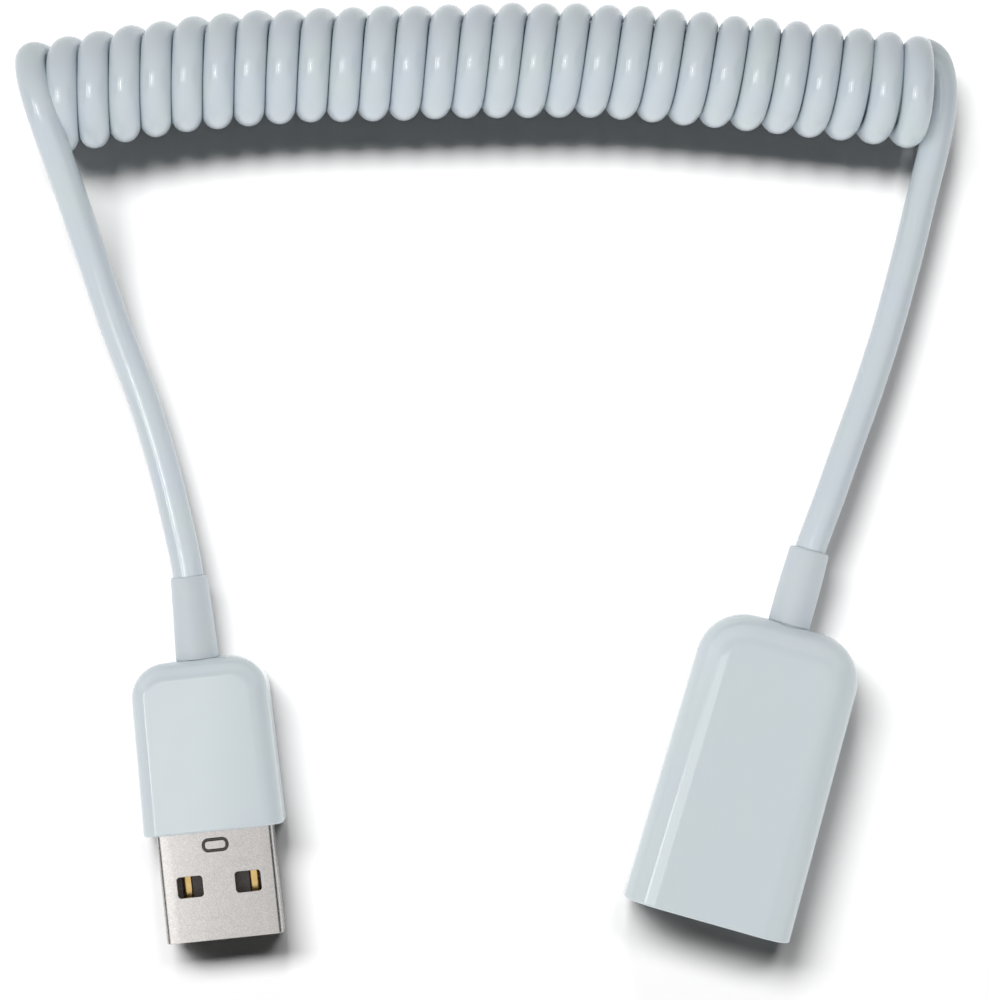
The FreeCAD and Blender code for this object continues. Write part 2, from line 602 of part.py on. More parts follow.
def coil_end(side, out, rise):
    """Point on the coil's flat end, and the end's outward direction; side is -1 left or 1 right."""
    half = size("coil_span") / size("coil_bend") / 2
    reach = size("coil_bend") + out
    across = size("coil_x") + side * reach * math.sin(half)
    along = size("coil_y") - size("coil_bend") + reach * math.cos(half)
    point = FreeCAD.Vector(across, along, size("coil_dia") / 2 + rise)
    return point, FreeCAD.Vector(side * math.cos(half), -math.sin(half), 0)


def core(label, connector, near, far):
    """Straight insulated core whose slanted end just meets the jacket's cut end at near."""
    aim = (far - near).normalize()
    skew = math.tan(aim.getAngle(ALONG_Y * -1))
    foot = near + aim * (skew * size("wire_dia") / 2)
    body = doc.addObject("Part::Cylinder", label)
    body.Label = label
    body.setExpression("Radius", "Sizes.wire_dia / 2")
    body.Height = foot.distanceToPoint(far)
    body.Placement = resting_place(connector).multiply(FreeCAD.Placement(foot, FreeCAD.Rotation(UP, aim)))
    nodes.append(body)


def cores(connector, jacket, tail_end, contact_face, facing):
    """Four cores that fan out from the cut end of the jacket onto the backs of the contacts."""
    spread = size("wire_spread")
    axis = size(f"{connector}_tall") / 2
    height = contact_face + facing * (size("wire_dia") / 2 + size("fit_gap"))
    lap_end = tail_end - size("core_lap")
    lap_middle = (tail_end + lap_end) / 2
    run = jacket - lap_end
    outer = size("contact_outer")
    inner = size("contact_inner")
    spots = [("red", 1, outer, 1), ("white", 1, inner, -1), ("green", -1, inner, -1), ("black", -1, outer, 1)]
    for colour, side, reach, level in spots:
        across = side if connector == "plug" else -side
        near = FreeCAD.Vector(across * spread, jacket, axis + level * facing * spread)
        climbs = facing * (height - near.z) > 0
        meets = tail_end if climbs else lap_end
        sideways = (across * reach - near.x) / (jacket - lap_middle)
        upwards = (height - near.z) / (jacket - meets)
        far = near + FreeCAD.Vector(sideways * run, -run, upwards * run)
        core(f"{connector}_wire_{colour}", connector, near, far)


# Plug
plug_housing = housing("plug", "plug_shell_out", plug_back, "plug_wide", "(plug_wide - 2 * plug_taper)")
hollow(plug_housing, "plug", "plug_shell_wide", "plug_shell_tall", "plug_shell_corner", "plug_shell_out",
       plug_block_back, plug_inside_back, plug_back, plug_axis)
strain_relief("plug", plug_axis, plug_back, plug_inside_back)
plug_shell = shell_tube("plug", "plug_shell_wide", "plug_shell_tall", "plug_shell_corner", "0",
                        plug_shell_back, plug_axis)
windows(plug_shell)
stake_mark(plug_shell)
seam(plug_shell)
plug_insulator()
plug_contact("power", "contact_outer", "plug_outer_in")
plug_contact("data_minus", "contact_inner", "plug_inner_in")
plug_contact("data_plus", "-contact_inner", "plug_inner_in")
plug_contact("ground", "-contact_outer", "plug_outer_in")
inner_mould("plug", "plug_shell_wide", "plug_shell_tall", "plug_shell_corner", plug_shell_back,
            plug_block_back, plug_inside_back, plug_axis)

# Socket
socket_housing = housing("socket", "0", "socket_long", "socket_wide", "(socket_wide - 2 * socket_taper)")
hollow(socket_housing, "socket", shell_wide, shell_tall, shell_corner, "0",
       socket_block_back, socket_inside_back, "socket_long", socket_axis)
finger_rooms(socket_housing)
strain_relief("socket", socket_axis, "socket_long", socket_inside_back)
socket_shell = shell_tube("socket", shell_wide, shell_tall, shell_corner, "socket_shell_in",
                          "socket_shell_long", socket_axis)
spring_fingers(socket_shell)
socket_insulator()
socket_contact("power", "-contact_outer")
socket_contact("data_minus", "-contact_inner")
socket_contact("data_plus", "contact_inner")
socket_contact("ground", "contact_outer")
inner_mould("socket", shell_wide, shell_tall, shell_corner, socket_shell_back,
            socket_block_back, socket_inside_back, socket_axis)

# Cores of the cord inside both connectors
plug_shell_end = size("plug_shell_out") + size("plug_shell_in")
plug_jacket = plug_shell_end + size("plug_chamber") - size("jacket_out")
plug_face = (size("plug_tall") - size("plug_shell_tall")) / 2 + size("sheet_thick") + size("plug_tongue")
cores("plug", plug_jacket, plug_shell_end - size("plug_insulator_in") + size("solder_tail"),
      plug_face + size("contact_proud"), 1)
socket_shell_end = size("socket_shell_in") + size("socket_shell_long")
socket_jacket = socket_shell_end + size("socket_chamber") - size("jacket_out")
cores("socket", socket_jacket, socket_shell_end + size("solder_tail"),
      size("socket_tall") / 2 - size("contact_proud"), -1)

# Cord: the plug's tail, the coil and the socket's tail
coiled_cord()
PLUG_LEAVES = 45.4
PLUG_ROUTE = [(-39.9, 46.8, 2.4), (-44.0, 56.8, 5.6), (-47.0, 62.9, 8.4)]
SOCKET_LEAVES = 45.4
SOCKET_ROUTE = [(41.3, 48.0, 2.3), (44.6, 58.9, 1.8), (46.8, 64.6, 2.4)]
left_end = coil_end(-1, size("plug_tail_out"), size("plug_tail_up"))
right_end = coil_end(1, size("socket_tail_out"), -size("socket_tail_down"))
tails = [("plug", plug_jacket, PLUG_LEAVES, PLUG_ROUTE, left_end),
         ("socket", socket_jacket, SOCKET_LEAVES, SOCKET_ROUTE, right_end)]
for connector, jacket, leaves, route, (end, outward) in tails:
    points = [on_axis(connector, jacket), on_axis(connector, leaves)]
    points += [FreeCAD.Vector(*point) for point in route]
    points += [end + outward * size("tail_run"), end]
    tube(f"{connector}_cord_tail", points, size("cord_dia"))
    print("  runs", ", ".join(f"{a.distanceToPoint(b):.1f}" for a, b in zip(points, points[1:])))

doc.recompute()
for thing in doc.Objects:
    if "Invalid" in thing.State or "Error" in thing.State:
        raise RuntimeError(f"{thing.Label} failed: {thing.State}")
for node in nodes:
    if node.Shape.isNull() or not node.Shape.isValid() or len(node.Shape.Solids) != 1:
        raise RuntimeError(f"{node.Label} is not one valid solid")

os.makedirs("parts", exist_ok=True)
for node in nodes:
    node.Shape.exportStep(f"parts/{node.Label}.step")
print(f"{len(nodes)} sub-parts written")
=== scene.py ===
import json
import math
import bmesh
import bpy
from mathutils import Matrix, Vector


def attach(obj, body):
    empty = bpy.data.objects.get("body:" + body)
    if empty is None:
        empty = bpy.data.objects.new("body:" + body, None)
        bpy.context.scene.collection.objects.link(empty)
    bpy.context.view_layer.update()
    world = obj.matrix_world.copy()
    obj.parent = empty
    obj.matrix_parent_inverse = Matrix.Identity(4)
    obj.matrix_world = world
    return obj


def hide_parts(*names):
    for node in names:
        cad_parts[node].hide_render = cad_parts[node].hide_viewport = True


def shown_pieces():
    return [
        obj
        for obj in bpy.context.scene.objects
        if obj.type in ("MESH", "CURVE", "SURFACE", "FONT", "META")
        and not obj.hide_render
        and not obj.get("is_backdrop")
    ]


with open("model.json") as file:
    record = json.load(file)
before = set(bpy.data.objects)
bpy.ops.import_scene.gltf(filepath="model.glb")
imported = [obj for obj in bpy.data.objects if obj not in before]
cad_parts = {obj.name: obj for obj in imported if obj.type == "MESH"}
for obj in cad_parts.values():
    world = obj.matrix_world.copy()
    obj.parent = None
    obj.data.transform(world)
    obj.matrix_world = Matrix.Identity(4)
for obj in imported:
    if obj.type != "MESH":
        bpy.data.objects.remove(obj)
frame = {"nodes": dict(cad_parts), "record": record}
bpy.context.view_layer.update()
nodes = frame["nodes"]
mounts = {mount["name"]: mount for mount in frame["record"]["mounts"]}
mm = 0.001
print("frame loaded,", len(nodes), "CAD nodes")


# Camera straight above the table
cameraView = {
    "aim": (-0.06 * mm, 25.33 * mm),    # point of the table in the middle of the picture
    "height": 350 * mm,
    "tableTall": 104.57 * mm,           # stretch of table from the top to the bottom of the picture
    "sensor": 36.0,
    "nearest": 10 * mm,
}


def makeCamera(s):
    data = bpy.data.cameras.new("overheadCamera")
    data.sensor_width = s["sensor"]
    data.lens = s["sensor"] * s["height"] / s["tableTall"]
    data.clip_start = s["nearest"]
    camera = bpy.data.objects.new("overheadCamera", data)
    camera.location = (*s["aim"], s["height"])
    bpy.context.scene.collection.objects.link(camera)
    bpy.context.scene.camera = camera


makeCamera(cameraView)
print("camera set")


# Placing and finishing pieces
def linked(name, data):
    obj = bpy.data.objects.new(name, data)
    bpy.context.scene.collection.objects.link(obj)
    return obj


def dressed(obj, material, slotName, *standsFor):
    # a finished piece: its finish, the body it rides on and the CAD nodes it stands for
    obj.data.materials.clear()
    obj.data.materials.append(material)
    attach(obj, "root")
    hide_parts(*standsFor)
    return obj


def connectorFrame(mountName, behindFront):
    # a connector's own millimetres: x across, y from the open end towards the cord, z up from the table
    mount = mounts[mountName]
    inward = -Vector(mount["axis"])
    across = Vector((inward.y, -inward.x, 0))
    front = Vector(mount["pos_m"]) - inward * behindFront * mm
    turned = Matrix((across, inward, Vector((0, 0, 1)))).transposed().to_4x4()
    return Matrix.Translation((front.x, front.y, 0)) @ turned @ Matrix.Scale(mm, 4)


def nodeBox(nodeName, place):
    # lowest and highest corner of a CAD node in its connector's own millimetres
    home = place.inverted()
    spots = [home @ vertex.co for vertex in nodes[nodeName].data.vertices]
    low = Vector([min(spot[axis] for spot in spots) for axis in range(3)])
    high = Vector([max(spot[axis] for spot in spots) for axis in range(3)])
    return low, high


def settle(obj):
    # keep the mesh as its modifiers leave it
    bpy.context.view_layer.update()
    mesh = bpy.data.meshes.new_from_object(obj.evaluated_get(bpy.context.evaluated_depsgraph_get()))
    obj.modifiers.clear()
    obj.data = mesh


def meshPiece(name, bm):
    bmesh.ops.recalc_face_normals(bm, faces=bm.faces)
    mesh = bpy.data.meshes.new(name)
    bm.to_mesh(mesh)
    bm.free()
    return linked(name, mesh)


def carve(obj, cutters):
    for cutter in cutters:
        cut = obj.modifiers.new("cut", "BOOLEAN")
        cut.operation = "DIFFERENCE"
        cut.solver = "EXACT"
        cut.object = cutter
    settle(obj)
    for cutter in cutters:
        bpy.data.objects.remove(cutter)


def setDown(obj, place, sharpAbove=35):
    # from the connector's millimetres to its place on the table, with evenly shaded rounds and flats
    obj.data.transform(place)
    obj.data.shade_smooth()
    obj.data.set_sharp_from_angle(angle=math.radians(sharpAbove))
    even = obj.modifiers.new("evenShading", "WEIGHTED_NORMAL")
    even.keep_sharp = True
    settle(obj)


def roundedBox(wide, tall, corner, steps=8):
    # outline about the middle, anticlockwise from the right
    outline = []
    for quarter, (sideX, sideY) in enumerate(((1, 1), (-1, 1), (-1, -1), (1, -1))):
        for step in range(steps + 1):
            angle = math.pi / 2 * (quarter + step / steps)
            x = sideX * (wide / 2 - corner) + corner * math.cos(angle)
            y = sideY * (tall / 2 - corner) + corner * math.sin(angle)
            outline.append((x, y))
    return outline


def skinned(rings, closed=False):
    # mesh through rings of equal count; capped at both ends, or joined from the last ring to the first
    bm = bmesh.new()
    rows = [[bm.verts.new(spot) for spot in ring] for ring in rings]
    pairs = list(zip(rows, rows[1:]))
    if closed:
        pairs.append((rows[-1], rows[0]))
    else:
        bm.faces.new(rows[0][::-1])
        bm.faces.new(rows[-1])
    for here, there in pairs:
        for spot in range(len(here)):
            after = (spot + 1) % len(here)
            bm.faces.new((here[spot], here[after], there[after], there[spot]))
    return bm


def roundOver(radius, steps=4):
    # a rounded rim as pairs of depth behind the rim and stand-off from the wall
    angles = [math.pi / 2 * step / steps for step in range(steps + 1)]
    return [(radius * (1 - math.cos(angle)), radius * (1 - math.sin(angle))) for angle in angles]


def tunnel(name, stations, axisHeight):
    # rounded box along the connector: (y, wide, tall, corner) at each station
    rings = []
    for along, wide, tall, corner in stations:
        rings.append([(x, along, axisHeight + z) for x, z in roundedBox(wide, tall, corner)])
    return meshPiece(name, skinned(rings))


def shaft(name, middle, stations):
    # upright rounded box: (z, wide, long, corner) at each station
    rings = []
    for height, wide, long, corner in stations:
        rings.append([(middle[0] + x, middle[1] + y, height) for x, y in roundedBox(wide, long, corner)])
    return meshPiece(name, skinned(rings))


def lathed(name, profile, axisHeight, steps=72):
    # closed profile of (y, radius) turned about the connector's axis
    rings = []
    for along, radius in profile:
        angles = [2 * math.pi * step / steps for step in range(steps)]
        rings.append([(radius * math.cos(a), along, axisHeight + radius * math.sin(a)) for a in angles])
    return meshPiece(name, skinned(rings, closed=True))


# Finishes
def newFinish(name, roughness, metallic=0.0):
    mat = bpy.data.materials.new(name)
    mat.use_nodes = True
    shader = mat.node_tree.nodes["Principled BSDF"]
    shader.inputs["Roughness"].default_value = roughness
    shader.inputs["Metallic"].default_value = metallic
    return mat, mat.node_tree, shader


def coordinates(tree, output="Object", scale=(1, 1, 1)):
    source = tree.nodes.new("ShaderNodeTexCoord")
    mapping = tree.nodes.new("ShaderNodeMapping")
    mapping.inputs["Scale"].default_value = scale
    tree.links.new(source.outputs[output], mapping.inputs["Vector"])
    return mapping.outputs["Vector"]


def noise(tree, vector, grain, detail=2.0):
    # grain is the size of a feature in the vector's own units
    node = tree.nodes.new("ShaderNodeTexNoise")
    node.inputs["Scale"].default_value = 1 / grain
    node.inputs["Detail"].default_value = detail
    tree.links.new(vector, node.inputs["Vector"])
    return node.outputs["Fac"]


def spread(tree, value, low, high, fromLow=0.3, fromHigh=0.7):
    node = tree.nodes.new("ShaderNodeMapRange")
    node.inputs["From Min"].default_value = fromLow
    node.inputs["From Max"].default_value = fromHigh
    node.inputs["To Min"].default_value = low
    node.inputs["To Max"].default_value = high
    tree.links.new(value, node.inputs["Value"])
    return node.outputs["Result"]


def tinted(tree, value, first, second, low=0.35, high=0.65):
    ramp = tree.nodes.new("ShaderNodeValToRGB")
    for stop, place, colour in zip(ramp.color_ramp.elements, (low, high), (first, second)):
        stop.position = place
        stop.color = (*colour, 1)
    tree.links.new(value, ramp.inputs["Fac"])
    return ramp.outputs["Color"]


def overlaid(tree, amount, under, over):
    # the colour under, turned to the colour over by the amount
    node = tree.nodes.new("ShaderNodeMix")
    node.data_type = "RGBA"
    sockets = {socket.identifier: socket for socket in node.inputs}
    sockets["B_Color"].default_value = (*over, 1)
    tree.links.new(amount, sockets["Factor_Float"])
    tree.links.new(under, sockets["A_Color"])
    return next(socket for socket in node.outputs if socket.identifier == "Result_Color")


def bumped(tree, shader, height, strength, distance):
    node = tree.nodes.new("ShaderNodeBump")
    node.inputs["Strength"].default_value = strength
    node.inputs["Distance"].default_value = distance
    tree.links.new(height, node.inputs["Height"])
    tree.links.new(node.outputs["Normal"], shader.inputs["Normal"])


def combined(tree, operation, first, second):
    node = tree.nodes.new("ShaderNodeMath")
    node.operation = operation
    for socket, value in zip(node.inputs, (first, second)):
        if isinstance(value, (int, float)):
            socket.default_value = value
        else:
            tree.links.new(value, socket)
    return node.outputs["Value"]


def specks(tree, vector, apart, size, share):
    # a few small dots, one in some of the cells that are this far apart
    cells = tree.nodes.new("ShaderNodeTexVoronoi")
    cells.inputs["Scale"].default_value = 1 / apart
    tree.links.new(vector, cells.inputs["Vector"])
    near = combined(tree, "LESS_THAN", cells.outputs["Distance"], size / apart)
    parts = tree.nodes.new("ShaderNodeSeparateColor")
    tree.links.new(cells.outputs["Color"], parts.inputs["Color"])
    chosen = combined(tree, "LESS_THAN", parts.outputs["Red"], share)
    return combined(tree, "MULTIPLY", near, chosen)


glossLook = {
    "cool": (0.588, 0.650, 0.690),
    "green": (0.590, 0.658, 0.678),
    "drift": 11 * mm,
    "speck": (0.24, 0.25, 0.26),
    "speckApart": 7 * mm,
    "speckSize": 0.12 * mm,
    "speckShare": 0.2,
    "roughness": (0.07, 0.12),
    "roughDrift": 2.2 * mm,
    "peel": 1.1 * mm,
    "peelDepth": 0.004 * mm,
    "bump": 0.3,
}


def makeGloss(s):
    mat, tree, shader = newFinish("glossWhite", s["roughness"][0])
    spot = coordinates(tree)
    colour = tinted(tree, noise(tree, spot, s["drift"]), s["cool"], s["green"])
    dots = specks(tree, spot, s["speckApart"], s["speckSize"], s["speckShare"])
    tree.links.new(overlaid(tree, dots, colour, s["speck"]), shader.inputs["Base Color"])
    rough = spread(tree, noise(tree, spot, s["roughDrift"]), *s["roughness"])
    tree.links.new(rough, shader.inputs["Roughness"])
    bumped(tree, shader, noise(tree, spot, s["peel"]), s["bump"], s["peelDepth"])
    return mat


softLook = {
    "cool": (0.560, 0.612, 0.662),
    "warm": (0.568, 0.622, 0.645),
    "drift": 3 * mm,
    "roughness": (0.40, 0.55),
    "grain": 0.16 * mm,
    "grainDepth": 0.006 * mm,
    "bump": 0.4,
}


def makeSoft(s):
    mat, tree, shader = newFinish("softWhite", s["roughness"][0])
    spot = coordinates(tree)
    colour = tinted(tree, noise(tree, spot, s["drift"]), s["cool"], s["warm"])
    tree.links.new(colour, shader.inputs["Base Color"])
    grain = noise(tree, spot, s["grain"], detail=3.0)
    tree.links.new(spread(tree, grain, *s["roughness"]), shader.inputs["Roughness"])
    bumped(tree, shader, grain, s["bump"], s["grainDepth"])
    return mat


jacketLook = {
    "violet": (0.592, 0.650, 0.708),
    "green": (0.596, 0.666, 0.690),
    "drift": 5 * mm,
    "roughness": (0.05, 0.11),
    "drawn": (70, 14),          # streaks left by drawing the jacket: along the whole cord and around it
    "ripple": 0.7 * mm,
    "rippleDepth": 0.03 * mm,
    "bump": 0.5,
}


def makeJacket(s):
    mat, tree, shader = newFinish("cordJacket", s["roughness"][0])
    spot = coordinates(tree)
    colour = tinted(tree, noise(tree, spot, s["drift"]), s["violet"], s["green"])
    tree.links.new(colour, shader.inputs["Base Color"])
    drawn = coordinates(tree, "UV", (*s["drawn"], 1))
    streaks = noise(tree, drawn, grain=1.0, detail=3.0)
    tree.links.new(spread(tree, streaks, *s["roughness"]), shader.inputs["Roughness"])
    ripple = noise(tree, spot, s["ripple"], detail=1.0)
    bumped(tree, shader, ripple, s["bump"], s["rippleDepth"])
    return mat


nickelLook = {
    "light": (0.560, 0.538, 0.522),
    "dark": (0.470, 0.454, 0.442),
    # colour of the painted shade that darkens the groove of the stake mark, standing in for the shade in that
    # recess
    "paintedShade": (0.07, 0.066, 0.062),
    "roughness": (0.22, 0.30),
    "roughDrift": 0.9 * mm,
    "grain": 0.15 * mm,
    "grainDepth": 0.006 * mm,
    "bump": 0.5,
}


def makeNickel(s):
    mat, tree, shader = newFinish("nickelPlate", s["roughness"][0], metallic=1.0)
    spot = coordinates(tree)
    grain = noise(tree, spot, s["grain"])
    colour = tinted(tree, grain, s["dark"], s["light"])
    # painted shade: the stake mark's groove is darkened wherever the shell's mask attribute is set
    paintedShade = tree.nodes.new("ShaderNodeAttribute")
    paintedShade.attribute_name = "paintedShade"
    tree.links.new(overlaid(tree, paintedShade.outputs["Fac"], colour, s["paintedShade"]), shader.inputs["Base Color"])
    rough = spread(tree, noise(tree, spot, s["roughDrift"]), *s["roughness"])
    tree.links.new(rough, shader.inputs["Roughness"])
    bumped(tree, shader, grain, s["bump"], s["grainDepth"])
    return mat


def makePlain(name, s, bump=0.3):
    # a finish of two tones in a fine grain, for what sits inside the connectors
    mat, tree, shader = newFinish(name, s["roughness"][0], s.get("metallic", 0.0))
    spot = coordinates(tree)
    grain = noise(tree, spot, s["grain"], detail=3.0)
    tree.links.new(tinted(tree, grain, *s["tones"]), shader.inputs["Base Color"])
    tree.links.new(spread(tree, grain, *s["roughness"]), shader.inputs["Roughness"])
    bumped(tree, shader, grain, bump, s["depth"])
    return mat


innerLooks = {
    "gold_plate": {"tones": ((0.66, 0.45, 0.18), (0.74, 0.54, 0.24)), "roughness": (0.16, 0.24),
                   "grain": 0.5 * mm, "depth": 0.002 * mm, "metallic": 1.0},
    "dark_insulator": {"tones": ((0.125, 0.105, 0.095), (0.175, 0.160, 0.152)), "roughness": (0.35, 0.5),
                       "grain": 0.25 * mm, "depth": 0.008 * mm},
    "inner_mould": {"tones": ((0.55, 0.56, 0.55), (0.62, 0.63, 0.62)), "roughness": (0.45, 0.6),
                    "grain": 0.5 * mm, "depth": 0.01 * mm},
    "core_red": {"tones": ((0.50, 0.03, 0.03), (0.58, 0.05, 0.04)), "roughness": (0.35, 0.45),
                 "grain": 0.4 * mm, "depth": 0.005 * mm},
    "core_white": {"tones": ((0.70, 0.70, 0.68), (0.76, 0.76, 0.74)), "roughness": (0.35, 0.45),
                   "grain": 0.4 * mm, "depth": 0.005 * mm},
    "core_green": {"tones": ((0.03, 0.24, 0.07), (0.05, 0.30, 0.10)), "roughness": (0.35, 0.45),
                   "grain": 0.4 * mm, "depth": 0.005 * mm},
    "core_black": {"tones": ((0.015, 0.015, 0.016), (0.03, 0.03, 0.03)), "roughness": (0.35, 0.45),
                   "grain": 0.4 * mm, "depth": 0.005 * mm},
}
glossWhite = makeGloss(glossLook)
softWhite = makeSoft(softLook)
cordJacket = makeJacket(jacketLook)
nickelPlate = makeNickel(nickelLook)
innerFinish = {slotName: makePlain(slotName, look) for slotName, look in innerLooks.items()}
print("finishes made")


# Housings, in their connectors' own millimetres
overshoot = 1.0     # how far a cutter runs past what it cuts
plugHousing = {
    "taper": 0.28,          # narrower at the back, each side
    "corner": 3.6,          # back corners in plan
    "edge": 2.0,            # long edges
    "lip": 0.22,            # rounded rim of the front
    "mouthRim": 0.1,
    "gap": 0.05,            # room around the shell
    "shellCorner": 0.6,
    "roomBack": 24.6,
    "neckWide": 8.1,
    "rearWall": 1.4,
    "cordHole": 4.0,
}
socketHousing = {
    "taper": 0.43,
    "corner": 5.0,
    "edge": 3.4,
    "lip": 0.25,
    "mouthRim": 0.18,
    "gap": 0.05,
    "shellCorner": 0.8,
    "roomBack": 23.55,
    "neckWide": 8.7,
    "rearWall": 1.6,
    "cordHole": 4.0,
}
fingerRoom = {"apart": 6.2, "wide": 2.4, "front": 2.6, "back": 9.4, "tall": 7.02, "corner": 0.1}


def mouldedBlock(name, s, low, high, cornerSteps=16, edgeSteps=12, lipSteps=5):
    # rings stacked up the height, each from the front right corner round the back to the front left
    slope = s["taper"] / (high.y - low.y)
    lean = math.atan(slope)
    stretch = 1 / math.cos(lean)
    front = low.y + s["lip"]
    centreY = high.y - s["corner"]
    centreX = high.x - s["corner"] * stretch - slope * (centreY - low.y)
    quarter = [math.pi / 2 * step / edgeSteps for step in range(edgeSteps + 1)]
    below = [angle - math.pi / 2 for angle in quarter]
    levels = [(angle, low.z + s["edge"] * (1 + math.sin(angle))) for angle in below]
    levels += [(angle, high.z - s["edge"] * (1 - math.sin(angle))) for angle in quarter]
    bm = bmesh.new()
    rows = []
    for angle, height in levels:
        inset = s["edge"] * (1 - math.cos(angle))
        right = [(high.x - inset * stretch - slope * s["lip"], front)]
        for step in range(cornerSteps + 1):
            turn = lean + (math.pi / 2 - lean) * step / cornerSteps
            reach = s["corner"] - inset
            right.append((centreX + reach * math.cos(turn), centreY + reach * math.sin(turn)))
        outline = right + [(-x, y) for x, y in reversed(right)]
        rows.append([bm.verts.new((x, y, height)) for x, y in outline])
    for here, there in zip(rows, rows[1:]):
        for spot in range(len(here) - 1):
            bm.faces.new((here[spot], here[spot + 1], there[spot + 1], there[spot]))
    bm.faces.new(rows[0])
    bm.faces.new(rows[-1])
    rim = [row[0] for row in rows] + [row[-1] for row in reversed(rows)]
    normals = [(math.cos(angle), math.sin(angle)) for angle, height in levels]
    normals += [(-across, up) for across, up in reversed(normals)]
    home = [vertex.co.copy() for vertex in rim]
    for step in range(1, lipSteps + 1):
        turn = math.pi / 2 * step / lipSteps
        inset = s["lip"] * (1 - math.cos(turn))
        along = front - s["lip"] * math.sin(turn)
        nextRim = []
        for co, (across, up) in zip(home, normals):
            nextRim.append(bm.verts.new((co.x - inset * across, along, co.z - inset * up)))
        for spot in range(len(rim)):
            after = (spot + 1) % len(rim)
            bm.faces.new((rim[spot], rim[after], nextRim[after], nextRim[spot]))
        rim = nextRim
    bm.faces.new(rim)
    return meshPiece(name, bm)


def makeHousing(name, s, connector, place, extraCutters=()):
    low, high = nodeBox(f"{connector}_housing", place)
    shellLow, shellHigh = nodeBox(f"{connector}_shell", place)
    axis = (low.z + high.z) / 2
    wide = shellHigh.x - shellLow.x + 2 * s["gap"]
    tall = shellHigh.z - shellLow.z + 2 * s["gap"]
    corner = s["shellCorner"] + s["gap"]
    rim = s["mouthRim"]
    stations = [(low.y - overshoot, wide + 2 * rim, tall + 2 * rim, corner + rim)]
    for depth, off in roundOver(rim):
        stations.append((low.y + depth, wide + 2 * off, tall + 2 * off, corner + off))
    stations.append((s["roomBack"], wide, tall, corner))
    insideBack = high.y - s["rearWall"]
    cutters = [tunnel("room", stations, axis)]
    neck = [(along, s["neckWide"], tall, s["gap"]) for along in (s["roomBack"] - s["gap"], insideBack)]
    cutters.append(tunnel("neck", neck, axis))
    hole = []
    for along in (insideBack - overshoot, high.y + overshoot):
        hole.append((along, s["cordHole"], s["cordHole"], s["cordHole"] / 2))
    cutters.append(tunnel("cordHole", hole, axis))
    block = mouldedBlock(name, s, low, high)
    carve(block, cutters + list(extraCutters))
    setDown(block, place)
    return dressed(block, glossWhite, "white_gloss", f"{connector}_housing")


def fingerCutters(s, axis):
    middle = (s["front"] + s["back"]) / 2
    long = s["back"] - s["front"]
    cutters = []
    for side in (-1, 1):
        ends = [(axis + end * s["tall"] / 2, s["wide"], long, s["corner"]) for end in (-1, 1)]
        cutters.append(shaft("fingerRoom", (side * s["apart"] / 2, middle), ends))
    return cutters


plugPlace = connectorFrame("plug_end", 0)
socketPlace = connectorFrame("socket_mouth", 0.2)
socketAxis = mounts["socket_mouth"]["pos_m"][2] / mm
plugAxis = mounts["plug_end"]["pos_m"][2] / mm
plugBody = makeHousing("plugHousing", plugHousing, "plug", plugPlace)
socketBody = makeHousing("socketHousing", socketHousing, "socket", socketPlace,
                         fingerCutters(fingerRoom, socketAxis))
print("housings made")


# Strain reliefs
plugRelief = {"base": 4.45, "end": 3.8, "swell": 0.0, "longer": 0.0, "rim": 0.3, "seam": 0.1}
socketRelief = {"base": 4.35, "end": 4.15, "swell": 0.05, "longer": 0.25, "rim": 0.3, "seam": 0.1}
reliefSeat = {"flange": 4.4, "flangeThick": 0.8, "neck": 3.9, "bore": 3.2}


def makeRelief(name, s, seat, connector, place, axis):
    low, high = nodeBox(f"{connector}_strain_relief", place)
    high.y += s["longer"]
    back = nodeBox(f"{connector}_housing", place)[1].y
    bore = seat["bore"] / 2
    inside = low.y + seat["flangeThick"]
    profile = [(low.y, bore), (low.y, seat["flange"] / 2), (inside, seat["flange"] / 2),
               (inside, seat["neck"] / 2), (back, seat["neck"] / 2)]
    profile += [(back, s["base"] / 2 - s["seam"]), (back + s["seam"] / 3, s["base"] / 2 - s["seam"] / 3),
                (back + s["seam"], s["base"] / 2)]
    steps = 10
    length = high.y - s["rim"] - back - s["seam"]
    for step in range(1, steps + 1):
        share = step / steps
        radius = (s["base"] + (s["end"] - s["base"]) * share) / 2 + s["swell"] * math.sin(math.pi * share)
        profile.append((back + s["seam"] + length * share, radius))
    for depth, off in reversed(roundOver(s["rim"])[:-1]):
        profile.append((high.y - depth, s["end"] / 2 - off))
    profile += [(high.y - s["seam"] / 2, bore + s["seam"] / 2), (high.y - s["rim"], bore)]
    sleeve = lathed(name, profile, axis)
    setDown(sleeve, place)
    return dressed(sleeve, softWhite, "soft_white", f"{connector}_strain_relief")


plugSleeve = makeRelief("plugRelief", plugRelief, reliefSeat, "plug", plugPlace, plugAxis)
socketSleeve = makeRelief("socketRelief", socketRelief, reliefSeat, "socket", socketPlace, socketAxis)
print("strain reliefs made")


# Plug shell, folded from sheet
plugShell = {
    "sheet": 0.3,
    "fold": 0.6,            # outside of the folds
    "crown": 9.0,           # the wide walls' own round where they run into the folds
    "lean": 6.0,            # degrees that they lean there
    "tipRim": 0.09,
    "windowWide": 2.6,
    "windowLong": 2.15,
    "windowCorner": 0.3,
    "windowApart": 6.0,
    "windowFront": 4.6,
    "windowRim": 0.08,
    "stakeWide": 2.7,
    "stakeLong": 1.4,
    "stakeRound": 0.62,
    "stakeRing": 0.27,
    "stakeDeep": 0.17,
    "stakeBack": 1.5,       # middle of the mark in front of the housing
    "paintedShadeDeep": 0.27,      # painted shade in the mark goes down to here
    "seamGap": 0.1,
    "lockAcross": 1.6,      # dovetail of the seam
    "lockFront": 7.5,
    "lockLong": 2.4,
    "lockSlope": 0.4,
}


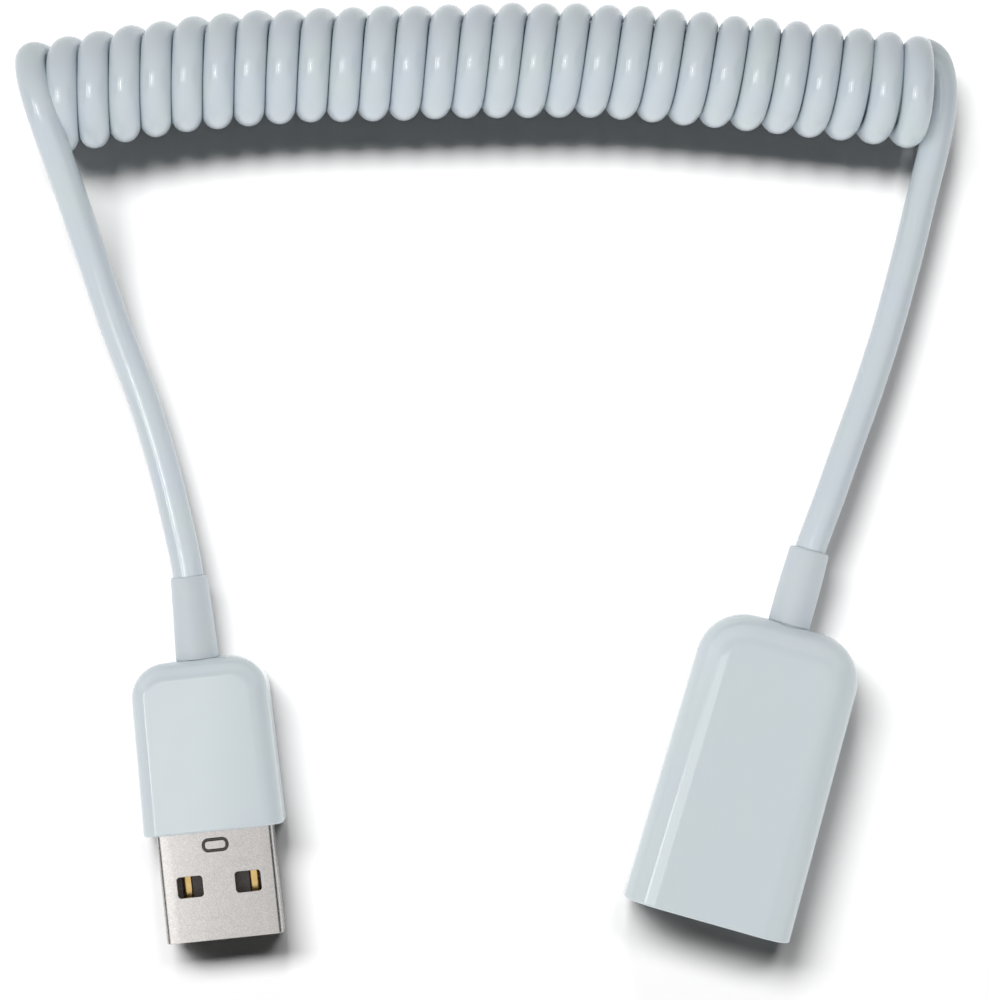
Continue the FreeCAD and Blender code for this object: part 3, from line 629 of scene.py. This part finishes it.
def foldedBox(s, wide, tall, leadSteps=4, foldSteps=8):
    # outline about the middle, anticlockwise from the right, whose wide walls ease down into the folds
    lean = math.radians(s["lean"])
    foldX = wide / 2 - s["fold"]
    foldZ = tall / 2 - s["crown"] + (s["crown"] - s["fold"]) * math.cos(lean)
    start = foldX - (s["crown"] - s["fold"]) * math.sin(lean)
    quarter = []
    for step in range(leadSteps):
        turn = lean * step / leadSteps
        quarter.append((start + s["crown"] * math.sin(turn), tall / 2 - s["crown"] * (1 - math.cos(turn))))
    for step in range(foldSteps + 1):
        turn = lean + (math.pi / 2 - lean) * step / foldSteps
        quarter.append((foldX + s["fold"] * math.sin(turn), foldZ + s["fold"] * math.cos(turn)))
    outline = quarter[::-1] + [(-x, z) for x, z in quarter]
    return outline + [(-x, -z) for x, z in outline]


def windowCutters(s, low, high):
    middleY = s["windowFront"] + s["windowLong"] / 2
    above = 0.5
    stations = [(above, s["windowRim"])] + [(-depth, off) for depth, off in roundOver(s["windowRim"])]
    levels = [(high.z + rise, off) for rise, off in stations]
    levels += [(low.z - rise, off) for rise, off in reversed(stations)]
    sized = [(height, s["windowWide"] + 2 * off, s["windowLong"] + 2 * off, s["windowCorner"] + off)
             for height, off in levels]
    cutters = []
    for side in (-1, 1):
        cutters.append(shaft("window", (side * s["windowApart"] / 2, middleY), sized))
    return cutters


def stakeCutter(s, high, middleY):
    # an oval ring with sloped walls, sunk into the top wall
    half = s["stakeRing"] / 2
    above = 0.3
    shoulder = 0.05
    outer = half + shoulder
    inner = half - shoulder
    floor = -s["stakeDeep"]
    walls = [(-outer, above), (-outer, 0), (-half, -shoulder), (-inner, floor),
             (inner, floor), (half, -shoulder), (outer, 0), (outer, above)]
    rings = []
    for off, rise in walls:
        reach = off - half
        outline = roundedBox(s["stakeWide"] + 2 * reach, s["stakeLong"] + 2 * reach, s["stakeRound"] + reach)
        rings.append([(x, middleY + y, high.z + rise) for x, y in outline])
    return meshPiece("stake", skinned(rings, closed=True))


def seamCutter(s, low, back):
    # butt seam with one dovetail along the bottom wall
    gap = s["seamGap"] / 2
    rootFront = s["lockFront"] + s["lockSlope"]
    rootBack = s["lockFront"] + s["lockLong"] - s["lockSlope"]
    wideBack = s["lockFront"] + s["lockLong"]
    across = s["lockAcross"]
    beyond = 0.5
    left = [(-gap, -beyond), (-gap, rootFront + gap), (across - gap, s["lockFront"] + gap),
            (across - gap, wideBack - gap), (-gap, rootBack - gap), (-gap, back + beyond)]
    right = [(gap, back + beyond), (gap, rootBack + gap), (across + gap, wideBack + gap),
             (across + gap, s["lockFront"] - gap), (gap, rootFront - gap), (gap, -beyond)]
    rings = []
    for height in (low.z - beyond, low.z + s["sheet"] + beyond / 2):
        rings.append([(x, y, height) for x, y in left + right])
    return meshPiece("seam", skinned(rings))


def makePlugShell(s, place):
    low, high = nodeBox("plug_shell", place)
    front = nodeBox("plug_housing", place)[0].y
    axis = (low.z + high.z) / 2
    wide = high.x - low.x
    tall = high.z - low.z
    stations = [(low.y + depth, off) for depth, off in roundOver(s["tipRim"])] + [(high.y, 0)]
    rings = []
    for along, off in stations:
        rings.append([(x, along, axis + z) for x, z in foldedBox(s, wide - 2 * off, tall - 2 * off)])
    shell = meshPiece("plugShell", skinned(rings))
    hollowWide = wide - 2 * s["sheet"]
    hollowTall = tall - 2 * s["sheet"]
    bend = s["fold"] - s["sheet"]
    rim = s["tipRim"]
    inner = [(low.y - overshoot, hollowWide + 2 * rim, hollowTall + 2 * rim, bend + rim)]
    inner += [(low.y + depth, hollowWide + 2 * off, hollowTall + 2 * off, bend + off)
              for depth, off in roundOver(rim)]
    inner.append((high.y + overshoot, hollowWide, hollowTall, bend))
    stakeY = front - s["stakeBack"]
    cutters = [tunnel("inside", inner, axis), *windowCutters(s, low, high),
               stakeCutter(s, high, stakeY), seamCutter(s, low, high.y)]
    carve(shell, cutters)
    # painted shade: marks the stake mark's groove, from half its depth down, for the finish to darken
    paintedShade = shell.data.attributes.new("paintedShade", "FLOAT", "POINT")
    for vertex in shell.data.vertices:
        sunk = high.z - vertex.co.z
        inMark = abs(vertex.co.x) < s["stakeWide"] / 2 and abs(vertex.co.y - stakeY) < s["stakeLong"] / 2
        if inMark and s["stakeDeep"] / 2 < sunk < s["paintedShadeDeep"]:
            paintedShade.data[vertex.index].value = 1.0
    setDown(shell, place)
    return dressed(shell, nickelPlate, "nickel_plate", "plug_shell")


plugTube = makePlugShell(plugShell, plugPlace)
print("plug shell made")


# Contacts, in pairs
contactSteps = {"bend": 5, "round": 24}


def contactTree(steps):
    tree = bpy.data.node_groups.new("contactPair", "GeometryNodeTree")
    tree.interface.new_socket("Path", in_out="INPUT", socket_type="NodeSocketGeometry")
    for label in ("Strip Width", "Strip Thickness", "Bend Radius", "Half Spacing"):
        tree.interface.new_socket(label, in_out="INPUT", socket_type="NodeSocketFloat")
    tree.interface.new_socket("Plating", in_out="INPUT", socket_type="NodeSocketMaterial")
    tree.interface.new_socket("Strips", in_out="OUTPUT", socket_type="NodeSocketGeometry")
    made = {}

    def node(label, kind, **settings):
        made[label] = tree.nodes.new(kind)
        for setting, value in settings.items():
            setattr(made[label], setting, value)

    def join(fromLabel, output, toLabel, entry):
        tree.links.new(made[fromLabel].outputs[output], made[toLabel].inputs[entry])

    node("sizes", "NodeGroupInput")
    node("line", "GeometryNodeMeshToCurve")
    node("bends", "GeometryNodeFilletCurve", mode="POLY")
    node("upright", "GeometryNodeSetCurveNormal", mode="Z_UP")
    node("round", "GeometryNodeCurvePrimitiveCircle", mode="RADIUS")
    node("flattening", "ShaderNodeCombineXYZ")
    node("section", "GeometryNodeTransform")
    node("strip", "GeometryNodeCurveToMesh")
    node("left", "ShaderNodeMath", operation="MULTIPLY")
    node("between", "ShaderNodeMath", operation="MULTIPLY")
    node("leftSpot", "ShaderNodeCombineXYZ")
    node("step", "ShaderNodeCombineXYZ")
    node("pair", "GeometryNodeMeshLine", mode="OFFSET")
    node("placed", "GeometryNodeInstanceOnPoints")
    node("real", "GeometryNodeRealizeInstances")
    node("plated", "GeometryNodeSetMaterial")
    node("result", "NodeGroupOutput")
    made["bends"].inputs["Count"].default_value = steps["bend"]
    made["bends"].inputs["Limit Radius"].default_value = True
    made["round"].inputs["Resolution"].default_value = steps["round"]
    made["round"].inputs["Radius"].default_value = 0.5
    made["flattening"].inputs["Z"].default_value = 1
    made["strip"].inputs["Fill Caps"].default_value = True
    made["left"].inputs[1].default_value = -1
    made["between"].inputs[1].default_value = 2
    made["pair"].inputs["Count"].default_value = 2
    join("sizes", "Path", "line", "Mesh")
    join("line", "Curve", "bends", "Curve")
    join("sizes", "Bend Radius", "bends", "Radius")
    join("bends", "Curve", "upright", "Curve")
    join("sizes", "Strip Width", "flattening", "X")
    join("sizes", "Strip Thickness", "flattening", "Y")
    join("round", "Curve", "section", "Geometry")
    join("flattening", "Vector", "section", "Scale")
    join("upright", "Curve", "strip", "Curve")
    join("section", "Geometry", "strip", "Profile Curve")
    join("sizes", "Half Spacing", "left", 0)
    join("sizes", "Half Spacing", "between", 0)
    join("left", "Value", "leftSpot", "X")
    join("between", "Value", "step", "X")
    join("leftSpot", "Vector", "pair", "Start Location")
    join("step", "Vector", "pair", "Offset")
    join("pair", "Mesh", "placed", "Points")
    join("strip", "Mesh", "placed", "Instance")
    join("placed", "Instances", "real", "Geometry")
    join("real", "Geometry", "plated", "Geometry")
    join("sizes", "Plating", "plated", "Material")
    join("plated", "Geometry", "result", "Strips")
    return tree


contactStrip = {"Strip Width": 1.0, "Strip Thickness": 0.25, "Bend Radius": 0.7}
contactPairs = {
    "plugOuterContacts": ("plug", "power", "ground"),
    "plugInnerContacts": ("plug", "data_minus", "data_plus"),
    "socketOuterContacts": ("socket", "power", "ground"),
    "socketInnerContacts": ("socket", "data_minus", "data_plus"),
}
springBend = {"rise": 1.8, "flat": 0.8, "fall": 3.2}    # lengths of a socket contact's bow


def contactPath(connector, low, high, thick):
    # middle line of a strip, from its tip to its solder tail
    if connector == "plug":
        heights = [(low.y, high.z - thick / 2), (high.y, high.z - thick / 2)]
    else:
        root = high.z - thick / 2
        bow = low.z + thick / 2
        bowFront = low.y + springBend["rise"]
        bowBack = bowFront + springBend["flat"]
        heights = [(low.y, root), (bowFront, bow), (bowBack, bow),
                   (bowBack + springBend["fall"], root), (high.y, root)]
    mesh = bpy.data.meshes.new("contactPath")
    edges = [(spot, spot + 1) for spot in range(len(heights) - 1)]
    mesh.from_pydata([(0, along, height) for along, height in heights], edges, [])
    return mesh


def makeContacts(name, tree, connector, contacts, place):
    replaced = [f"{connector}_contact_{contact}" for contact in contacts]
    low, high = nodeBox(replaced[0], place)
    sizes = dict(contactStrip)
    sizes["Half Spacing"] = abs(low.x + high.x) / 2
    sizes["Plating"] = innerFinish["gold_plate"]
    strips = linked(name, contactPath(connector, low, high, sizes["Strip Thickness"]))
    pair = strips.modifiers.new("contactPair", "NODES")
    pair.node_group = tree
    for item in tree.interface.items_tree:
        if item.in_out == "INPUT" and item.name in sizes:
            pair[item.identifier] = sizes[item.name]
    settle(strips)
    setDown(strips, place)
    return dressed(strips, innerFinish["gold_plate"], "gold_plate", *replaced)


pairTree = contactTree(contactSteps)
contactPieces = {}
for name, (connector, *contacts) in contactPairs.items():
    home = plugPlace if connector == "plug" else socketPlace
    contactPieces[name] = makeContacts(name, pairTree, connector, contacts, home)
print("contacts made")


# Pieces that keep their CAD mesh
for name, node in nodes.items():
    if name.endswith("_insulator"):
        node.data.materials[0] = innerFinish["dark_insulator"]
    elif name.endswith("_inner_mould"):
        node.data.materials[0] = innerFinish["inner_mould"]
    elif "_wire_" in name:
        node.data.materials[0] = innerFinish["core_" + name.rsplit("_", 1)[1]]
    elif name == "socket_shell":
        node.data.materials[0] = nickelPlate
print("CAD pieces finished")


# Cord
def smoothLine(name, points):
    # one open quadratic spline with the points as its control points
    data = bpy.data.curves.new(name, "CURVE")
    data.dimensions = "3D"
    spline = data.splines.new("NURBS")
    spline.points.add(len(points) - 1)
    for spot, point in zip(spline.points, points):
        spot.co = (*point, 1)
    spline.order_u = 3
    spline.use_endpoint_u = True
    return data


def readLine(points, fineness):
    # the points that the smooth line passes through
    data = smoothLine("readLine", points)
    data.resolution_u = fineness
    obj = linked("readLine", data)
    bpy.context.view_layer.update()
    mesh = bpy.data.meshes.new_from_object(obj.evaluated_get(bpy.context.evaluated_depsgraph_get()))
    line = [vertex.co.copy() for vertex in mesh.vertices]
    bpy.data.objects.remove(obj)
    bpy.data.curves.remove(data)
    bpy.data.meshes.remove(mesh)
    return line


coil = {
    "cordDia": 3.2 * mm,
    "turnRadius": 4.3 * mm,     # middle of the cord off the coil's axis
    "pitch": 3.236 * mm,
    "firstTop": 2.93 * mm,      # along the axis to where the first strand crosses the top
    "lastTurn": 27.25,          # turns from there to the coil's far edge
    "leadIn": 0.75,             # turn before it, from the far edge and under the coil
    "perTurn": 16,
    "axisSteps": 40,
    "lineSteps": 4,
    "roundSteps": 8,
    # degrees that the turns swing to the right, from left to right
    "swing": [-5.8, -5.2, -4.2, -3.4, -2.4, -1.4, -0.3, 0.8, 1.8, 2.4, 2.6, 2.2, 1.4, -5.0],
    "uneven": 0.07 * mm,        # how much the turns differ in reach
    "waves": (2.3, 0.9),        # how fast they differ, in radians a turn
    # millimetres that they run on as they go over the far edge, from left to right
    "roll": [0.45, 0.3, 0.15, 0.0, 0.0],
    "axis": [(-46.83, 66.41), (-37.33, 68.31), (-25.83, 69.81), (-11.83, 70.21), (2.17, 70.56),
             (12.17, 70.51), (24.17, 69.31), (36.17, 68.21), (47.17, 66.71)],
}
# the tails in millimetres, from the socket to the coil and from the coil to the plug
socketTail = [(31.42, 16.23, 4.5), (32.47, 19.94, 4.5), (33.32, 22.2, 4.5), (34.87, 26.3, 4.4),
              (36.33, 30.47, 4.2), (37.88, 34.63, 4.05), (39.33, 38.81, 3.9), (40.64, 42.89, 3.8),
              (41.88, 47.36, 3.8), (43.11, 52.12, 3.85), (44.15, 56.59, 3.9), (45.29, 61.05, 3.95),
              (45.93, 64.03, 4), (46.27, 66.85, 4.1), (46.09, 69.33, 4.35), (45.3, 71.03, 5)]
plugTail = [(-47.53, 70.71, 7.4), (-47.23, 69.01, 9.4), (-46.43, 66.31, 10.9), (-45.47, 63.29, 10.4),
            (-44.48, 60.22, 9.1), (-43.31, 56.44, 7.5), (-42.02, 52.3, 6.1), (-40.66, 48.02, 5.1),
            (-39.39, 43.87, 4.4), (-37.84, 39.81, 3.9), (-36.29, 35.65, 3.55), (-35.02, 31.48, 3.35),
            (-33.86, 27.4, 3.3), (-32.88, 23.21, 3.4), (-32.09, 19.91, 3.6), (-31.63, 17.46, 3.7),
            (-31.22, 13.61, 3.7)]


def listedAt(values, share):
    # the value at this share of the coil's length, between the two listed ones that it falls between
    place = min(max(share, 0), 1) * (len(values) - 1)
    first = min(int(place), len(values) - 2)
    return values[first] + (values[first + 1] - values[first]) * (place - first)


def coilTurns(s):
    height = s["turnRadius"] + s["cordDia"] / 2
    line = readLine([(x * mm, y * mm, height) for x, y in s["axis"]], s["axisSteps"])
    walked = [0.0]
    for here, there in zip(line, line[1:]):
        walked.append(walked[-1] + (there - here).length)
    # a quadratic spline runs inside its points: it gets to this share of their radius
    roundness = 0.75 + 0.25 * math.cos(2 * math.pi / s["perTurn"])
    fast, slow = s["waves"]
    points = []
    at = 0
    for count in range(round((s["leadIn"] + s["lastTurn"]) * s["perTurn"]) + 1):
        turn = count / s["perTurn"] - s["leadIn"]
        along = s["firstTop"] + turn * s["pitch"]
        while at < len(line) - 2 and walked[at + 1] < along:
            at += 1
        ahead = (line[at + 1] - line[at]).normalized()
        middle = line[at] + ahead * (along - walked[at])
        swing = math.radians(listedAt(s["swing"], turn / s["lastTurn"]))
        side = Vector((math.sin(swing), math.cos(swing), 0))
        angle = 2 * math.pi * turn
        wave = s["uneven"] * math.sin(fast * turn) * math.cos(slow * turn)
        reach = (s["turnRadius"] + wave) / roundness
        lift = s["turnRadius"] / roundness
        roll = listedAt(s["roll"], turn / s["lastTurn"]) * mm
        roll *= -math.sin(2 * angle) * max(math.sin(angle), 0) ** 2
        spot = middle + ahead * roll + side * reach * math.sin(angle)
        points.append(spot + Vector((0, 0, lift * math.cos(angle))))
    return points


def makeCord(s):
    turns = coilTurns(s)
    tailIn = [Vector(point) * mm for point in plugTail]
    tailOut = [Vector(point) * mm for point in socketTail]
    data = smoothLine("coiledCord", tailOut + turns[::-1] + tailIn)
    data.resolution_u = s["lineSteps"]
    data.bevel_depth = s["cordDia"] / 2
    data.bevel_resolution = s["roundSteps"]
    data.use_fill_caps = True
    return linked("coiledCord", data)


cordPiece = makeCord(coil)
dressed(cordPiece, cordJacket, "cord_jacket", "coiled_cord", "plug_cord_tail", "socket_cord_tail")
plugPieces = [plugBody, plugSleeve, plugTube]
plugPieces += [contactPieces[name] for name in ("plugOuterContacts", "plugInnerContacts")]
print("cord made")


# Table, dark flags and light
tableSheet = {
    "half": 4.0,
    "colour": (0.55, 0.55, 0.55),
    "roughness": 0.9,
    "middle": (0.0, 28 * mm, 0.0),
    "shown": 58 * mm,       # this far from the middle the table shows its light and shadow
    "white": 85 * mm,       # and from here on it is as white as the room
}
flags = {"reach": 1.2, "front": -0.42, "back": 0.32, "low": 0.08, "high": 1.35, "glow": 0.06,
         "roughness": 0.9}
# the room as glossy surfaces and the camera see it, and as it lights
room = {"seen": 1.0, "shade": 0.03, "tint": (0.93, 0.97, 1)}
wall = {"on": "housings", "aim": "level", "size": (2.0, 1.25)}
lamps = {
    "windowPane": {"on": "plastic", "spot": (-0.478, -0.083, 1.0), "size": (0.604, 0.5), "radiance": 2.2},
    "windowLeftEdge": {"on": "plastic", "spot": (-0.8725, -0.083, 1.0), "size": (0.185, 0.5),
                       "radiance": 6.0},
    "windowRightEdge": {"on": "plastic", "spot": (-0.1405, -0.083, 1.0), "size": (0.071, 0.5),
                        "radiance": 2.7},
    "cordGlint": {"on": "cord", "spot": (-0.42, -0.083, 0.98), "size": (0.1, 0.28), "radiance": 11},
    "metalCard": {"on": "metal", "spot": (-0.070, -0.022, 0.06), "size": (0.066, 0.08), "radiance": 0.8},
    "leftWall": {**wall, "spot": (-1.0, 0.0, 0.66), "radiance": 0.95},
    "rightWall": {**wall, "spot": (1.0, 0.0, 0.66), "radiance": 0.6},
    "backWall": {**wall, "spot": (0.0, 1.0, 0.66), "radiance": 0.85},
    "frontWall": {**wall, "spot": (0.0, -1.0, 0.66), "radiance": 1.0, "mirrored": False},
    "nearLamp": {"on": "housings", "spot": (0.06, 0.0, 0.2), "aim": "middle", "size": (0.1, 0.1),
                 "radiance": 3.0, "mirrored": False},
    "cordLamp": {"on": "cord", "spot": (0.005, -0.025, 0.19), "aim": "middle", "size": (0.1, 0.1),
                 "radiance": 4.4, "mirrored": False},
    "tableLamp": {"on": "table", "spot": (-0.34, 0.485, 0.8), "size": (0.62, 0.33), "radiance": 36.5,
                  "mirrored": False},
    "tableRight": {"on": "table", "spot": (0.22, 0.45, 0.8), "size": (0.22, 0.22), "radiance": 26,
                   "mirrored": False},
    "tableLow": {"on": "table", "spot": (-0.1, 2.0, 1.2), "aim": "middle", "size": (0.4, 0.4),
                 "radiance": 35, "mirrored": False},
}
suns = {
    "cordSky": {"on": "cord", "from": (0.0, -0.15, 1.0), "angle": 170, "strength": 1.1},
    "insideSky": {"on": "inside", "from": (0.0, 0.0, 1.0), "angle": 175, "strength": 2.2},
}


def looking(tree):
    # 1 where a surface is looked at, directly or in a mirror, and 0 where it only lights
    rays = tree.nodes.new("ShaderNodeLightPath")
    looks = combined(tree, "MAXIMUM", rays.outputs["Is Camera Ray"], rays.outputs["Is Glossy Ray"])
    return combined(tree, "MAXIMUM", looks, rays.outputs["Is Transmission Ray"])


def eitherShader(tree, amount, first, second, output):
    node = tree.nodes.new("ShaderNodeMixShader")
    tree.links.new(amount, node.inputs["Fac"])
    tree.links.new(first, node.inputs[1])
    tree.links.new(second, node.inputs[2])
    tree.links.new(node.outputs["Shader"], tree.nodes[output].inputs["Surface"])


def makeTableWhite(s):
    mat, tree, shader = newFinish("tableWhite", s["roughness"])
    shader.inputs["Base Color"].default_value = (*s["colour"], 1)
    white = tree.nodes.new("ShaderNodeEmission")
    white.inputs["Color"].default_value = (1, 1, 1, 1)
    white.inputs["Strength"].default_value = 1.0
    away = tree.nodes.new("ShaderNodeVectorMath")
    away.operation = "DISTANCE"
    away.inputs[1].default_value = s["middle"]
    tree.links.new(coordinates(tree), away.inputs[0])
    far = spread(tree, away.outputs["Value"], 0.0, 1.0, s["shown"], s["white"])
    shown = combined(tree, "MULTIPLY", far, looking(tree))
    eitherShader(tree, shown, shader.outputs["BSDF"], white.outputs["Emission"], "Material Output")
    return mat


def makeTable(s):
    half = s["half"]
    mesh = bpy.data.meshes.new("table")
    corners = [(-half, -half, 0), (half, -half, 0), (half, half, 0), (-half, half, 0)]
    mesh.from_pydata(corners, [], [(0, 1, 2, 3)])
    mesh.materials.append(makeTableWhite(s))
    table = linked("table", mesh)
    table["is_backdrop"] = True
    return table


def makeFlag(name, s, side):
    # a dark panel to one side that only reflections see, which draws the folds of the metal
    edge = side * s["reach"]
    spots = [(edge, s["front"], s["low"]), (edge, s["back"], s["low"]), (edge, s["back"], s["high"]),
             (edge, s["front"], s["high"])]
    mesh = bpy.data.meshes.new(name)
    mesh.from_pydata(spots, [], [(0, 1, 2, 3)])
    mat, tree, shader = newFinish(name, s["roughness"])
    shader.inputs["Base Color"].default_value = (0, 0, 0, 1)
    shader.inputs["Emission Color"].default_value = (1, 1, 1, 1)
    shader.inputs["Emission Strength"].default_value = s["glow"]
    mesh.materials.append(mat)
    panel = linked(name, mesh)
    panel.visible_camera = False
    panel.visible_diffuse = False
    panel.visible_transmission = False
    panel.visible_shadow = False
    panel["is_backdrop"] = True


def lightGroup(name, members):
    group = bpy.data.collections.new(name)
    for member in members:
        group.objects.link(member)
    return group


def aimed(obj, direction):
    obj.rotation_euler = Vector(direction).to_track_quat("-Z", "Y").to_euler()


def makeLamp(name, s, receivers):
    data = bpy.data.lights.new(name, "AREA")
    data.shape = "RECTANGLE"
    data.size, data.size_y = s["size"]
    data.energy = math.pi * s["size"][0] * s["size"][1] * s["radiance"]
    lamp = linked(name, data)
    lamp.location = s["spot"]
    across, along, up = s["spot"]
    aims = {"down": (0, 0, -1), "level": (-across, -along, 0), "middle": (-across, -along, -up)}
    aimed(lamp, aims[s.get("aim", "down")])
    lamp.visible_camera = False
    lamp.visible_glossy = s.get("mirrored", True)
    lamp.light_linking.receiver_collection = receivers


def makeSun(name, s, receivers):
    data = bpy.data.lights.new(name, "SUN")
    data.energy = s["strength"]
    data.angle = math.radians(s["angle"])
    sun = linked(name, data)
    aimed(sun, -Vector(s["from"]))
    sun.visible_glossy = False
    sun.light_linking.receiver_collection = receivers


def makeRoom(s):
    world = bpy.data.worlds.new("room")
    bpy.context.scene.world = world
    world.use_nodes = True
    tree = world.node_tree
    seen = tree.nodes["Background"]
    seen.inputs["Color"].default_value = (1, 1, 1, 1)
    seen.inputs["Strength"].default_value = s["seen"]
    shade = tree.nodes.new("ShaderNodeBackground")
    shade.inputs["Color"].default_value = (*s["tint"], 1)
    shade.inputs["Strength"].default_value = s["shade"]
    eitherShader(tree, looking(tree), shade.outputs["Background"], seen.outputs["Background"], "World Output")


housings = [plugBody, socketBody, plugSleeve, socketSleeve]
plastic = housings + [cordPiece]
table = makeTable(tableSheet)
makeFlag("leftFlag", flags, -1)
makeFlag("rightFlag", flags, 1)
lit = {
    "plastic": lightGroup("litPlastic", plastic),
    "housings": lightGroup("litHousings", housings),
    "cord": lightGroup("litCord", [cordPiece]),
    "metal": lightGroup("litMetal", [plugTube]),
    "inside": lightGroup("litInside", [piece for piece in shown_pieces() if piece not in plastic]),
    "table": lightGroup("litTable", [table]),
}
for name, lamp in lamps.items():
    makeLamp(name, lamp, lit[lamp["on"]])
for name, sun in suns.items():
    makeSun(name, sun, lit[sun["on"]])
makeRoom(room)
bpy.context.scene.view_settings.view_transform = "Standard"
print("table and light set")

bpy.context.view_layer.update()
